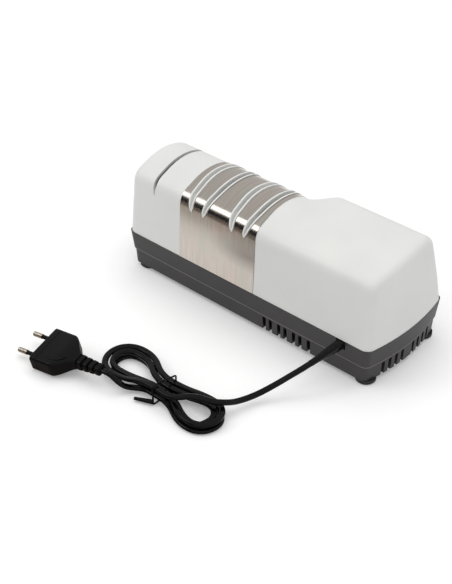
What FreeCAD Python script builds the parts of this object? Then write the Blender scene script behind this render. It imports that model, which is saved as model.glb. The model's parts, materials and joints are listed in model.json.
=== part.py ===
import FreeCAD
import Part
import math
import os
import Sketcher
from FreeCAD import Placement, Rotation, Vector

# Electric knife sharpener with a wound mains lead
# Millimetres, +Z up, floor at z = 0. +X runs to the manual slot, -X to the motor, +Y to the side
# where the lead leaves. The machine is centred on the origin in plan.

doc = FreeCAD.newDocument("knife_sharpener")
sizes = doc.addObject("Spreadsheet::Sheet", "sizes")

DRIVING_SIZES = [
    # The case
    ("body_length", 254.6),
    ("body_width", 95.4),
    ("foot_height", 4.1),
    ("tray_top", 18.0),
    ("seam_height", 34.9),
    ("case_height", 101.9),
    ("wall", 2.5),
    ("end_round", 7.0),
    ("plan_corner", 6.0),
    ("bow", 6.0),
    ("crest_setback", 35.8),
    ("ridge_setback", 32.2),
    ("motor_ridge_setback", 20.7),
    ("back_draft", 2.5),
    ("base_flare", 0.4),
    ("mid_step", 1.2),
    ("tray_taper", 1.6),
    ("fit_gap", 0.15),
    # The steel cover and the knife slots
    ("cover_left", -10.0),
    ("cover_right", 68.4),
    ("cover_thick", 0.8),
    ("cover_proud", 0.35),
    ("stage_one_middle", 49.7),
    ("stage_two_middle", 7.35),
    ("slot_spread", 6.1),
    ("slot_tilt", 10.0),
    ("slot_tip", 82.0),
    ("slot_gap", 4.2),
    ("guide_width", 7.2),
    ("guide_proud", 1.0),
    ("guide_depth", 7.0),
    ("manual_slot_place", 97.5),
    ("manual_slot_tip", 79.5),
    ("manual_slot_gap", 3.2),
    # The vents and feet
    ("vent_width", 3.3),
    ("vent_top", 16.3),
    ("back_vent_first", -20.3),
    ("back_vent_pair", 6.4),
    ("back_vent_step", 14.9),
    ("end_vent_step", 7.25),
    ("end_vent_middle_gap", 14.0),
    ("foot_radius", 8.0),
    ("foot_inset_long", 13.0),
    ("foot_inset_wide", 10.7),
    ("screw_radius", 1.5),
    ("screw_head_radius", 3.0),
    # The drive line
    ("shaft_side", 8.0),
    ("shaft_level", 58.0),
    ("shaft_radius", 3.0),
    ("shaft_left", -114.0),
    ("shaft_right", 83.0),
    ("running_gap", 0.05),
    ("disc_radius", 26.0),
    ("disc_rim", 6.0),
    ("disc_back", 3.0),
    ("disc_hub_radius", 7.5),
    ("disc_hub_end", 12.0),
    ("disc_travel", 1.5),
    ("pin_radius", 1.2),
    ("spring_wire", 0.9),
    ("spring_radius", 5.6),
    ("core_left", -90.0),
    ("core_length", 26.0),
    ("core_half_width", 26.0),
    ("core_bottom", 22.0),
    ("core_top", 84.0),
    ("air_gap", 0.5),
    ("rotor_radius", 14.0),
    ("cup_radius", 17.5),
    ("cup_depth", 12.0),
    ("cup_wall", 1.5),
    ("bush_radius", 6.0),
    ("bush_length", 6.0),
    ("fan_radius", 20.0),
    ("fan_place", -108.5),
    ("block_width", 22.0),
    ("block_thick", 8.0),
    ("middle_block_place", -28.0),
    ("end_block_place", 76.0),
    # The manual stage
    ("manual_axle_level", 72.0),
    ("manual_axle_radius", 2.0),
    ("wheel_width", 7.5),
    ("wheel_large", 13.0),
    ("wheel_small", 8.0),
    ("holder_arm", 3.0),
    # The switch on the front
    ("switch_place", -77.0),
    ("switch_level", 63.0),
    ("switch_long", 27.5),
    ("switch_high", 14.5),
    ("switch_depth", 14.0),
    ("rocker_throw", 14.0),
    # The mains lead and its plug
    ("exit_place", -96.7),
    ("exit_below_seam", 3.9),
    ("exit_turn", 12.0),
    ("exit_droop", 10.0),
    ("relief_length", 28.0),
    ("relief_root", 3.7),
    ("relief_tip", 3.0),
    ("lead_diameter", 4.6),
    ("plug_wide", 35.3),
    ("plug_thick", 13.7),
    ("pin_length", 19.0),
    ("pin_spacing", 18.6),
    ("plug_pin_radius", 2.0),
]

for row, (alias, value) in enumerate(DRIVING_SIZES, start=1):
    sizes.set(f"A{row}", alias.replace("_", " "))
    sizes.set(f"B{row}", str(value))
    sizes.setAlias(f"B{row}", alias)
doc.recompute()


def size(alias):
    return float(sizes.get(alias))


made = []


def keep(label, thing):
    """Notes an object of the document as a finished piece under its own label."""
    thing.Label = label
    made.append(thing)
    return thing


def put(thing, x="0", y="0", z="0"):
    """Binds the place of an object to expressions of the sheet's sizes."""
    for axis, expression in zip("xyz", (x, y, z)):
        thing.setExpression(f".Placement.Base.{axis}", expression)
    return thing


# Sketches whose corners are bound to the sheet

V_AXIS = -2
H_AXIS = -1


def bind_point(sketch, curve, end, across, up):
    """Ties one point of a curve to its two distances from the sketch's origin."""
    for kind, axis, expression in (("DistanceX", V_AXIS, across), ("DistanceY", H_AXIS, up)):
        if expression == "0":
            sketch.addConstraint(Sketcher.Constraint("PointOnObject", curve, end, axis))
            continue
        number = sketch.addConstraint(Sketcher.Constraint(kind, -1, 1, curve, end, 1.0 + curve))
        sketch.setExpression(f"Constraints[{number}]", expression)


def draw_polygon(sketch, corners):
    """Draws a closed outline; corners are pairs of expressions."""
    first = sketch.GeometryCount
    count = len(corners)
    for i in range(count):
        here = 2 * math.pi * i / count
        there = 2 * math.pi * (i + 1) / count
        start = Vector(math.cos(here), math.sin(here), 0)
        end = Vector(math.cos(there), math.sin(there), 0)
        sketch.addGeometry(Part.LineSegment(start, end), False)
    for i, (across, up) in enumerate(corners):
        following = first + (i + 1) % count
        sketch.addConstraint(Sketcher.Constraint("Coincident", first + i, 2, following, 1))
        bind_point(sketch, first + i, 1, across, up)


def draw_circle(sketch, across, up, radius):
    """Draws a circle; its centre and radius are expressions."""
    number = sketch.addGeometry(Part.Circle(Vector(0, 0, 0), Vector(0, 0, 1), 1.0), False)
    bind_point(sketch, number, 3, across, up)
    constraint = sketch.addConstraint(Sketcher.Constraint("Radius", number, 1.0))
    sketch.setExpression(f"Constraints[{constraint}]", radius)


def new_sketch(body, plane, name):
    """Adds an empty sketch on one of the body's own planes."""
    sketch = body.newObject("Sketcher::SketchObject", name)
    for feature in body.Origin.OriginFeatures:
        if feature.Role == plane:
            sketch.AttachmentSupport = [(feature, "")]
    sketch.MapMode = "FlatFace"
    return sketch


def turned(label, corners, upright=False):
    """A body of revolution: corners are (along, radius) pairs, or (radius, along) for an upright one."""
    body = doc.addObject("PartDesign::Body", label)
    sketch = new_sketch(body, "XZ_Plane" if upright else "XY_Plane", label + "_outline")
    draw_polygon(sketch, corners)
    spin = body.newObject("PartDesign::Revolution", label + "_turn")
    spin.Profile = sketch
    spin.ReferenceAxis = (sketch, ["V_Axis" if upright else "H_Axis"])
    spin.Angle = 360.0
    return body


def padded_body(label, plane, polygons, circles, thickness):
    """A body padded from a sketch of outlines and holes, half of its thickness to each side."""
    body = doc.addObject("PartDesign::Body", label)
    sketch = new_sketch(body, plane, label + "_outline")
    for corners in polygons:
        draw_polygon(sketch, corners)
    for circle in circles:
        draw_circle(sketch, *circle)
    pad = body.newObject("PartDesign::Pad", label + "_pad")
    pad.Profile = sketch
    pad.Midplane = True
    pad.setExpression("Length", thickness)
    return body


def rectangle(left, right, low, high):
    return [(left, low), (right, low), (right, high), (left, high)]


def pocket(body, plane, polygons, circles, depth):
    """Cuts outlines through a body, half of the depth to each side of the plane."""
    sketch = new_sketch(body, plane, f"{body.Name}_cut{len(body.Group)}")
    for corners in polygons:
        draw_polygon(sketch, corners)
    for circle in circles:
        draw_circle(sketch, *circle)
    cut = body.newObject("PartDesign::Pocket", f"{body.Name}_pocket{len(body.Group)}")
    cut.Profile = sketch
    cut.Midplane = True
    cut.setExpression("Length", depth)
    return cut


def box(label, across, deep, high, x, y, z):
    """A block whose sides and low corner are expressions."""
    block = doc.addObject("Part::Box", label)
    block.setExpression("Length", across)
    block.setExpression("Width", deep)
    block.setExpression("Height", high)
    return put(block, x, y, z)


def free_shape(label, shape):
    """A piece whose shape is worked out with geometry functions."""
    feature = doc.addObject("Part::Feature", label)
    feature.Shape = shape
    return feature


def join(label, *things):
    fuse = doc.addObject("Part::MultiFuse", label)
    fuse.Shapes = list(things)
    return fuse


def subtract(label, base, tool):
    cut = doc.addObject("Part::Cut", label)
    cut.Base = base
    cut.Tool = tool
    return cut


# The case's outside, as a function of how far a surface lies inside it

half_long = size("body_length") / 2
half_wide = size("body_width") / 2
seam = size("seam_height")
ridge = size("case_height")

# Corners of the two cross-sections as (y, z), from the back wall's foot over the top to the front's.
# The crest of the one and the ridge of the other are raised below, until their rounds reach the case's height.
sharpening_section = [
    (half_wide, seam),
    (half_wide - size("back_draft"), ridge - 10.2),
    (half_wide - size("crest_setback"), ridge),
    (size("ridge_setback") - half_wide, ridge - 6.1),
    (1.5 - half_wide, seam),
]
motor_section = [
    (half_wide, seam),
    (half_wide - size("back_draft"), ridge - 8.4),
    (9.0, ridge - 3.1),
    (size("motor_ridge_setback") - half_wide, ridge),
    (0.7 - half_wide, seam),
]
SHOULDER_ROUND = (13.0, 10.5)
CREST_ROUND = 50.0
MOTOR_CREST_REACH = 10.0
RIDGE_ROUND = (24.0, 10.0)
WAIST_FROM = -13.0
WAIST_TO = -38.0
WAIST_STEPS = 8
RAISE_ROUNDS = 60


def blend(x):
    """0 over the sharpening section, 1 over the motor, with a smooth change between."""
    t = (x - WAIST_FROM) / (WAIST_TO - WAIST_FROM)
    t = min(1.0, max(0.0, t))
    return t * t * (3.0 - 2.0 * t)


def crossing(a, b, c, d):
    """Where the line through a and b meets the line through c and d, as (y, z) points."""
    run = (b[0] - a[0], b[1] - a[1])
    other = (d[0] - c[0], d[1] - c[1])
    scale = run[0] * other[1] - run[1] * other[0]
    t = ((c[0] - a[0]) * other[1] - (c[1] - a[1]) * other[0]) / scale
    return (a[0] + t * run[0], a[1] + t * run[1])


def moved_in(a, b, distance):
    """The line from a to b, moved to its left, which is the inside of the section."""
    run = (b[0] - a[0], b[1] - a[1])
    long = math.hypot(*run)
    shift = (-run[1] / long * distance, run[0] / long * distance)
    return (a[0] + shift[0], a[1] + shift[1]), (b[0] + shift[0], b[1] + shift[1])


def raised_ridge(back, ridge_corner, front, radius):
    """The ridge's corner moved up until the round that replaces it just reaches the case's height."""
    level = ridge_corner[1]
    for _ in range(RAISE_ROUNDS):
        roof = math.atan2(level - back[1], back[0] - ridge_corner[0])
        fall = math.atan2(level - front[1], ridge_corner[0] - front[0])
        level = ridge_corner[1] + radius * (math.cos((fall - roof) / 2) / math.cos((fall + roof) / 2) - 1)
    return (ridge_corner[0], level)


sharpening_section[2] = raised_ridge(*sharpening_section[1:4], CREST_ROUND)
motor_section[3] = raised_ridge(*motor_section[2:5], RIDGE_ROUND[1])


def turning(before, corner, after):
    """How far the outline turns at a corner of its top, in radians."""
    rise = math.atan2(corner[1] - before[1], before[0] - corner[0])
    return rise + math.atan2(corner[1] - after[1], corner[0] - after[0])


ROUNDS_APART = 0.2
CREST_REACH = (CREST_ROUND * math.tan(turning(*sharpening_section[1:4]) / 2), MOTOR_CREST_REACH)


def section_wire(x, inset, bottom):
    """The case's outline at x, moved in by inset and cut level at bottom, as lines and arcs."""
    share = blend(x)
    corners = [
        (a[0] * (1 - share) + b[0] * share, a[1] * (1 - share) + b[1] * share)
        for a, b in zip(sharpening_section, motor_section)
    ]
    shoulder = SHOULDER_ROUND[0] * (1 - share) + SHOULDER_ROUND[1] * share - inset
    reach = CREST_REACH[0] * (1 - share) + CREST_REACH[1] * share
    ridge_round = RIDGE_ROUND[0] * (1 - share) + RIDGE_ROUND[1] * share
    ridge_reach = ridge_round * math.tan(turning(*corners[2:5]) / 2)
    reach = min(reach, math.dist(corners[2], corners[3]) - ridge_reach - ROUNDS_APART)
    crest = reach / math.tan(turning(*corners[1:4]) / 2) - inset
    top = ridge_round - inset
    sides = [moved_in(a, b, inset) for a, b in zip(corners, corners[1:])]
    level = ((1.0, bottom), (0.0, bottom))
    loop = [crossing(*level, *sides[0])]
    loop += [crossing(*a, *b) for a, b in zip(sides, sides[1:])]
    loop.append(crossing(*sides[-1], *level))
    points = [Vector(x, y, z) for y, z in loop]
    edges = []
    here = points[0]
    for corner, radius in ((1, shoulder), (2, crest), (3, top)):
        before = (points[corner - 1] - points[corner]).normalize()
        after = (points[corner + 1] - points[corner]).normalize()
        half = (math.pi - before.getAngle(after)) / 2
        reach = radius * math.tan(half)
        first = points[corner] + before * reach
        last = points[corner] + after * reach
        inward = (before + after).normalize()
        middle = points[corner] + inward * (radius / math.cos(half) - radius)
        edges.append(Part.LineSegment(here, first).toShape())
        edges.append(Part.Arc(first, middle, last).toShape())
        here = last
    edges.append(Part.LineSegment(here, points[4]).toShape())
    edges.append(Part.LineSegment(points[4], points[0]).toShape())
    return Part.Wire(edges)


def plan_wire(z, inset, wide, lean, bow):
    """The case's outline seen from above: a straight end at +X and a bowed one at -X."""
    right = half_long - inset - lean
    left = -half_long + inset + lean
    side = wide - inset
    edges = [
        Part.LineSegment(Vector(right, side, z), Vector(left + bow, side, z)).toShape(),
        Part.Arc(Vector(left + bow, side, z), Vector(left, 0, z), Vector(left + bow, -side, z)).toShape(),
        Part.LineSegment(Vector(left + bow, -side, z), Vector(right, -side, z)).toShape(),
        Part.LineSegment(Vector(right, -side, z), Vector(right, side, z)).toShape(),
    ]
    return Part.Wire(edges)


END_LEAN = 5.0
BOW_AT_TOP = 1.0
TRIM_WIDE = 1.4
PAST_THE_END = 32.0
waist = [WAIST_TO + (WAIST_FROM - WAIST_TO) * i / WAIST_STEPS for i in range(WAIST_STEPS + 1)]
STATIONS = [-half_long - PAST_THE_END] + waist + [half_long + PAST_THE_END]


def case_solid(inset, bottom, rounded=True):
    """The whole space inside the case's outside moved in by inset, down to bottom."""
    long_form = Part.makeLoft([section_wire(x, inset, bottom) for x in STATIONS], True, True)
    rise = ridge + 6.0 - seam
    drop = (seam - bottom) / rise
    wide = half_wide * TRIM_WIDE
    spread = TRIM_WIDE * TRIM_WIDE
    low = plan_wire(bottom, inset, wide + inset, -END_LEAN * drop, size("bow") * spread)
    high = plan_wire(ridge + 6.0, inset, wide + inset, END_LEAN, BOW_AT_TOP * spread)
    solid = long_form.common(Part.makeLoft([low, high], True, True))
    if not rounded:
        return solid
    radius = size("end_round") - inset
    ends = []
    for edge in solid.Edges:
        box_of = edge.BoundBox
        if box_of.ZMax - bottom < 0.01:
            continue
        if box_of.XMax < -half_long * 0.9 or box_of.XMin > half_long * 0.9:
            ends.append(edge)
    return solid.makeFillet(radius, ends)


def slab(left, right, low, high):
    """A block right across the case between two places along it and two levels."""
    return Part.makeBox(right - left, 300, high - low, Vector(left, -150, low))


# The knife slots: flat outlines in a leaning plane, carried across the case


def leaning(half_widths, middle, side, tip):
    """A band across the case that leans to one side as it rises; half_widths are (height, half width)."""
    right = [Vector(w, 0, up) for up, w in half_widths]
    left = [Vector(-w, 0, up) for up, w in reversed(half_widths)]
    loop = Part.makePolygon(right + left + [right[0]])
    band = Part.Face(loop).extrude(Vector(0, 300, 0))
    band.translate(Vector(0, -150, 0))
    band.rotate(Vector(0, 0, 0), Vector(0, 1, 0), side * size("slot_tilt"))
    band.translate(Vector(middle + side * size("slot_spread"), 0, tip))
    return band


def guide_band(middle, side, extra):
    half = size("guide_width") / 2
    outline = [(0.0, 0.3), (3.0, 0.5 * half), (12.0, 0.85 * half), (40.0, half)]
    outline = [(up, across + extra) for up, across in outline]
    outline[0] = (-extra, outline[0][1])
    return leaning(outline, middle, side, size("slot_tip"))


def slot_band(middle, side):
    half = size("slot_gap") / 2
    outline = [(2.6, 0.35), (12.0, 0.85 * half), (40.0, half)]
    return leaning(outline, middle, side, size("slot_tip"))


stages = {"stage_1": size("stage_one_middle"), "stage_2": size("stage_two_middle")}
guide_bands = [guide_band(m, s, size("fit_gap")) for m in stages.values() for s in (-1, 1)]
manual_half = size("manual_slot_gap") / 2
manual_outline = [
    Vector(-0.3, 0, 0),
    Vector(0.3, 0, 0),
    Vector(manual_half, 0, 9),
    Vector(manual_half, 0, 60),
    Vector(-manual_half, 0, 60),
    Vector(-manual_half, 0, 9),
    Vector(-0.3, 0, 0),
]
manual_slot = Part.Face(Part.makePolygon(manual_outline)).extrude(Vector(0, 300, 0))
manual_slot.translate(Vector(size("manual_slot_place"), -150, size("manual_slot_tip")))

outside = case_solid(0, seam)
inside = case_solid(size("wall"), seam - 1)
cover_depth = size("cover_thick") - size("cover_proud")
recess = case_solid(cover_depth + 0.05, seam - 1, rounded=False)
cover_top = case_solid(-size("cover_proud"), seam, rounded=False)
cover_under = case_solid(cover_depth, seam - 1, rounded=False)

# The switch opening lies in the front wall of the motor housing, square to the leaning wall
front_foot = motor_section[4]
front_top = motor_section[3]
front_lean = math.degrees(math.atan2(front_top[0] - front_foot[0], front_top[1] - front_foot[1]))
switch_y = front_foot[0] + (size("switch_level") - seam) * math.tan(math.radians(front_lean))
switch_frame = Placement(
    Vector(size("switch_place"), switch_y, size("switch_level")), Rotation(Vector(1, 0, 0), -front_lean)
)
switch_hole = Part.makeBox(size("switch_long"), 40, size("switch_high"))
switch_hole.translate(Vector(-size("switch_long") / 2, -20, -size("switch_high") / 2))
switch_hole.Placement = switch_frame.multiply(switch_hole.Placement)

# The four case screws stand near the corners
screw_places = [
    (sx * (half_long - 22.3), sy * (half_wide - 17.7)) for sx in (-1, 1) for sy in (-1, 1)
]
BOSS_RADIUS = 5.0
WEB = 3.0
BOSS_TOP = seam + 10.0


def column(x, y, low, high, radius):
    return Part.makeCylinder(radius, high - low, Vector(x, y, low))


def ribs(low, high, radius, room):
    """Four round bosses at the screw places, each with a web to the side wall, kept inside room."""
    bosses = [column(x, y, low, high, radius) for x, y in screw_places]
    for x, y in screw_places:
        start = y if y > 0 else -half_wide
        bosses.append(Part.makeBox(WEB, half_wide - abs(y), high - low, Vector(x - WEB / 2, start, low)))
    return bosses[0].multiFuse(bosses[1:]).common(room)


housing = outside.cut(inside)
housing = housing.fuse(ribs(seam, BOSS_TOP, BOSS_RADIUS, case_solid(1.0, seam, rounded=False)))
cover_slab = slab(size("cover_left") - 0.1, size("cover_right") + 0.1, seam - 5, ridge + 10)
housing = housing.cut(cover_slab.common(case_solid(-5, seam - 1, rounded=False)).cut(recess))
for band in guide_bands + [manual_slot, switch_hole]:
    housing = housing.cut(band)
for x, y in screw_places:
    housing = housing.cut(column(x, y, seam - 1, BOSS_TOP - 2, size("screw_radius") + 0.1))
keep("top_housing", free_shape("top_housing", housing))

# The steel cover is one bent sheet over the back wall, the top and the front slope
cover_reach = slab(size("cover_left"), size("cover_right"), seam + 0.3, ridge + 10)
cover = cover_top.cut(cover_under).common(cover_reach)
for band in guide_bands:
    cover = cover.cut(band)
keep("steel_cover", free_shape("steel_cover", cover))

# Each stage's slot guide is a white moulding whose two rims stand through the steel
guide_skin = case_solid(-size("guide_proud"), seam, rounded=False)
guide_room = case_solid(size("guide_depth"), seam - 1, rounded=False)
guide_hollow = case_solid(size("wall") + 0.1, seam - 1, rounded=False)
for name, middle in stages.items():
    rims = []
    for side in (-1, 1):
        rim = guide_band(middle, side, 0.0).common(guide_skin).cut(guide_room)
        rims.append(rim)
    across = size("slot_spread") + size("guide_width")
    bridge = slab(middle - across, middle + across, size("slot_tip") - 3.0, size("slot_tip") + 9.0)
    bridge = bridge.common(guide_hollow).cut(guide_room)
    guide = rims[0].fuse(rims[1]).fuse(bridge)
    for side in (-1, 1):
        guide = guide.cut(slot_band(middle, side))
    keep(name + "_slot_guide", free_shape(name + "_slot_guide", guide))

# The dark base: an upper frame and a lower tray


def base_ring(low, high, inset_low, inset_high, radius):
    """A solid between two levels on the case's plan, drafted, with its four upright edges rounded."""
    first = plan_wire(low, inset_low, half_wide, 0, size("bow"))
    last = plan_wire(high, inset_high, half_wide, 0, size("bow"))
    solid = Part.makeLoft([first, last], True, True)
    upright = [e for e in solid.Edges if e.BoundBox.ZLength > (high - low) * 0.9]
    return solid.makeFillet(radius, upright)


wall = size("wall")
corner = size("plan_corner")
tray_top = size("tray_top")
floor_low = size("foot_height")
FLOOR_THICK = 2.5
floor_top = floor_low + FLOOR_THICK

frame_outer = base_ring(tray_top, seam, size("mid_step"), -size("base_flare"), corner)
frame_inner = base_ring(tray_top - 1, seam + 1, size("mid_step") + wall, wall, corner - wall)
frame_body = frame_outer.cut(frame_inner)
frame_body = frame_body.fuse(ribs(tray_top, seam, BOSS_RADIUS, frame_outer))
for x, y in screw_places:
    frame_body = frame_body.cut(column(x, y, tray_top - 1, seam + 1, size("screw_radius") + 0.1))
exit_level = seam - size("exit_below_seam")
notch_half = size("relief_root") + 0.4
exit_notch = Part.makeBox(
    2 * notch_half,
    12,
    20,
    Vector(size("exit_place") - notch_half, half_wide - 8, exit_level - notch_half),
)
frame_body = frame_body.cut(exit_notch)
keep("base_frame", free_shape("base_frame", frame_body))

TRAY_STEP = 0.7
tray_outer = base_ring(floor_low, tray_top, size("tray_taper") + 1.0, size("mid_step") + TRAY_STEP, corner)
tray_inner = base_ring(
    floor_top,
    tray_top + 1,
    size("tray_taper") + 0.5 + wall,
    size("mid_step") + TRAY_STEP + wall,
    corner - wall,
)
tray = tray_outer.cut(tray_inner)
tray = tray.fuse(ribs(floor_top, tray_top, BOSS_RADIUS, tray_outer))
for x, y in screw_places:
    tray = tray.cut(column(x, y, floor_low - 1, tray_top + 1, size("screw_radius") + 0.1))
    tray = tray.cut(column(x, y, floor_low - 1, floor_low + 3.2, size("screw_head_radius") + 0.2))

# Two posts carry the motor's core
POST_WIDE = 8.0
for side in (-1, 1):
    post_y = size("shaft_side") + side * (size("core_half_width") - POST_WIDE / 2) - POST_WIDE / 2
    post_high = size("core_bottom") - floor_top
    post_foot = Vector(size("core_left"), post_y, floor_top)
    tray = tray.fuse(Part.makeBox(size("core_length"), POST_WIDE, post_high, post_foot))

vent = size("vent_width")


def vent_cutter(long_x, long_y):
    """A tall slot with a round top, open through the bottom edge."""
    straight = Part.makeBox(long_x, long_y, size("vent_top") - vent / 2 - floor_low + 2)
    straight.translate(Vector(-long_x / 2, -long_y / 2, floor_low - 2))
    if long_x > long_y:
        top = Part.makeCylinder(vent / 2, long_x, Vector(-long_x / 2, 0, 0), Vector(1, 0, 0))
    else:
        top = Part.makeCylinder(vent / 2, long_y, Vector(0, -long_y / 2, 0), Vector(0, 1, 0))
    top.translate(Vector(0, 0, size("vent_top") - vent / 2))
    return straight.fuse(top)


VENT_DEEP = 12.0
BACK_VENTS = 7
END_VENTS_A_SIDE = 4
for i in range(BACK_VENTS):
    cutter = vent_cutter(vent, VENT_DEEP)
    place = size("back_vent_first") - (i // 2) * size("back_vent_step") - (i % 2) * size("back_vent_pair")
    tray = tray.cut(cutter.translated(Vector(place, half_wide, 0)))
for i in range(END_VENTS_A_SIDE):
    for side in (-1, 1):
        cutter = vent_cutter(VENT_DEEP, vent)
        y = side * (size("end_vent_middle_gap") / 2 + i * size("end_vent_step")) - 1.0
        bow_here = size("bow") * (y / half_wide) ** 2
        tray = tray.cut(cutter.translated(Vector(-half_long + bow_here, y, 0)))
keep("base_tray", free_shape("base_tray", tray))

# Four soft feet, each a low button with a stud through the floor
foot_places = {
    1: ("-(sizes.body_length / 2 - sizes.foot_inset_long)", "-(sizes.body_width / 2 - sizes.foot_inset_wide)"),
    2: ("-(sizes.body_length / 2 - sizes.foot_inset_long)", "sizes.body_width / 2 - sizes.foot_inset_wide"),
    3: ("sizes.body_length / 2 - sizes.foot_inset_long", "-(sizes.body_width / 2 - sizes.foot_inset_wide)"),
    4: ("sizes.body_length / 2 - sizes.foot_inset_long", "sizes.body_width / 2 - sizes.foot_inset_wide"),
}
for number, (x, y) in foot_places.items():
    foot = turned(
        f"rubber_foot_{number}",
        [
            ("0", "0"),
            ("sizes.foot_radius - 1.2", "0"),
            ("sizes.foot_radius", "1.2"),
            ("sizes.foot_radius", "sizes.foot_height"),
            ("0", "sizes.foot_height"),
        ],
        upright=True,
    )
    keep(f"rubber_foot_{number}", put(foot, x, y))

# Four identical case screws in one group
screw = turned(
    "case_screw",
    [
        ("0", "0"),
        ("sizes.screw_head_radius", "0"),
        ("sizes.screw_head_radius", "2.2"),
        ("sizes.screw_radius", "2.2"),
        ("sizes.screw_radius", "sizes.seam_height + 6 - sizes.foot_height"),
        ("0", "sizes.seam_height + 6 - sizes.foot_height"),
    ],
    upright=True,
)
doc.recompute()
screws = []
for x, y in screw_places:
    one = screw.Shape.copy()
    one.translate(Vector(x, y, floor_low + 1.0))
    screws.append(one)
keep("case_screws", free_shape("case_screws", Part.makeCompound(screws)))

# The drive line turns about one axis along X
SHAFT = {"y": "sizes.shaft_side", "z": "sizes.shaft_level"}
shaft = turned(
    "shaft_blank",
    [
        ("sizes.shaft_left", "0"),
        ("sizes.shaft_right", "0"),
        ("sizes.shaft_right", "sizes.shaft_radius - 0.6"),
        ("sizes.shaft_right - 0.6", "sizes.shaft_radius"),
        ("sizes.shaft_left + 0.6", "sizes.shaft_radius"),
        ("sizes.shaft_left", "sizes.shaft_radius - 0.6"),
    ],
)
put(shaft, **SHAFT)
doc.recompute()

BORE = "(sizes.shaft_radius + sizes.running_gap)"
PIN_AT = "(sizes.disc_hub_end - 3)"
pin_reach = size("disc_hub_radius") - 1.0
pin_x = size("disc_hub_end") - 3.0
pins = []
for middle in stages.values():
    for side in (-1, 1):
        pin = Part.makeCylinder(
            size("pin_radius"),
            2 * pin_reach,
            Vector(middle + side * pin_x, size("shaft_side") - pin_reach, size("shaft_level")),
            Vector(0, 1, 0),
        )
        pins.append(pin)
drilled = shaft.Shape.copy()
for pin in pins:
    drilled = drilled.cut(pin)
shaft_piece = free_shape("drilled_shaft", drilled)
keep("drive_shaft", shaft_piece)
keep("drive_pins", free_shape("drive_pins", Part.makeCompound(pins)))

# A sharpening disc: a dished rim on a hub whose end is slotted for its cross pin
for name, alias in (("stage_1", "stage_one_middle"), ("stage_2", "stage_two_middle")):
    for side, word in ((-1, "left"), (1, "right")):
        sign = "-" if side < 0 else ""
        label = f"{name}_disc_{word}"
        disc = turned(
            label,
            [
                (sign + "sizes.disc_back", BORE),
                (sign + "sizes.disc_hub_end", BORE),
                (sign + "sizes.disc_hub_end", "sizes.disc_hub_radius"),
                (sign + "(sizes.disc_rim + 1.8)", "sizes.disc_hub_radius"),
                (sign + "(sizes.disc_rim + 1.8)", "sizes.disc_radius * 0.45"),
                (sign + "sizes.disc_rim", "sizes.disc_radius"),
                (sign + "(sizes.disc_rim - 1.6)", "sizes.disc_radius"),
                (sign + "sizes.disc_back", "sizes.disc_radius * 0.5"),
            ],
        )
        doc.recompute()
        slot_from = f"({PIN_AT} - sizes.pin_radius - sizes.disc_travel - 0.1)"
        edges = [sign + slot_from, sign + "(sizes.disc_hub_end + 1)"]
        slot = rectangle(edges[0], edges[1], "-(sizes.pin_radius + 0.1)", "sizes.pin_radius + 0.1")
        pocket(disc, "XZ_Plane", [slot], [], "4 * sizes.disc_radius")
        put(disc, f"sizes.{alias}", **SHAFT)
        keep(label, disc)

# Wound pieces follow a chain of arcs, two for each step of the winding


def biarc(start, along, end, arrive):
    """Two arcs from start to end that leave along one direction and arrive along another."""
    gap = end - start
    total = along + arrive
    square = 2.0 * (1.0 - along.dot(arrive))
    if square < 1e-9:
        reach = gap.dot(gap) / (4.0 * gap.dot(arrive))
    else:
        half = gap.dot(total)
        reach = (math.sqrt(half * half + 2.0 * (1.0 - along.dot(arrive)) * gap.dot(gap)) - half) / square
    first = start + along * reach
    last = end - arrive * reach
    meet = (first + last) * 0.5
    return arc_edge(start, along, meet) + arc_edge(meet, (last - first).normalize(), end)


def arc_edge(start, along, end):
    """The arc from start along a direction to end, or a straight edge where it hardly bends."""
    chord = end - start
    if along.cross(chord).Length < 1e-4 * chord.Length:
        return [Part.LineSegment(start, end).toShape()]
    angle = along.getAngle(chord)
    side = (along - chord * (along.dot(chord) / chord.dot(chord))).normalize()
    middle = (start + end) * 0.5 + side * (chord.Length / 2 * math.tan(angle / 2))
    return [Part.Arc(start, middle, end).toShape()]


def tube_on(edges, radius):
    """A round tube carried along a chain of edges."""
    path = Part.Wire(edges)
    start = path.Edges[0]
    begin = start.valueAt(start.FirstParameter)
    along = start.tangentAt(start.FirstParameter)
    ring = Part.Wire([Part.makeCircle(radius, begin, along)])
    return path.makePipeShell([ring], True, False), path


QUARTERS = 14
SPRING_TURNS = 3.5


def spring_shape(middle):
    """A compression spring between a pair of discs, wound round the shaft."""
    wire = size("spring_wire") / 2
    radius = size("spring_radius")
    span = 2 * size("disc_back") - 2 * wire - 0.3
    knots = []
    for i in range(QUARTERS + 1):
        angle = 2 * math.pi * SPRING_TURNS * i / QUARTERS
        x = middle - span / 2 + span * i / QUARTERS
        across = size("shaft_side") + radius * math.cos(angle)
        place = Vector(x, across, size("shaft_level") + radius * math.sin(angle))
        rise = span / (SPRING_TURNS * 2 * math.pi)
        heading = Vector(rise, -radius * math.sin(angle), radius * math.cos(angle)).normalize()
        knots.append((place, heading))
    edges = []
    for (a, u), (b, v) in zip(knots, knots[1:]):
        edges += biarc(a, u, b, v)
    return tube_on(edges, wire)[0]


for name, middle in stages.items():
    keep(name + "_spring", free_shape(name + "_spring", spring_shape(middle)))

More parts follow.
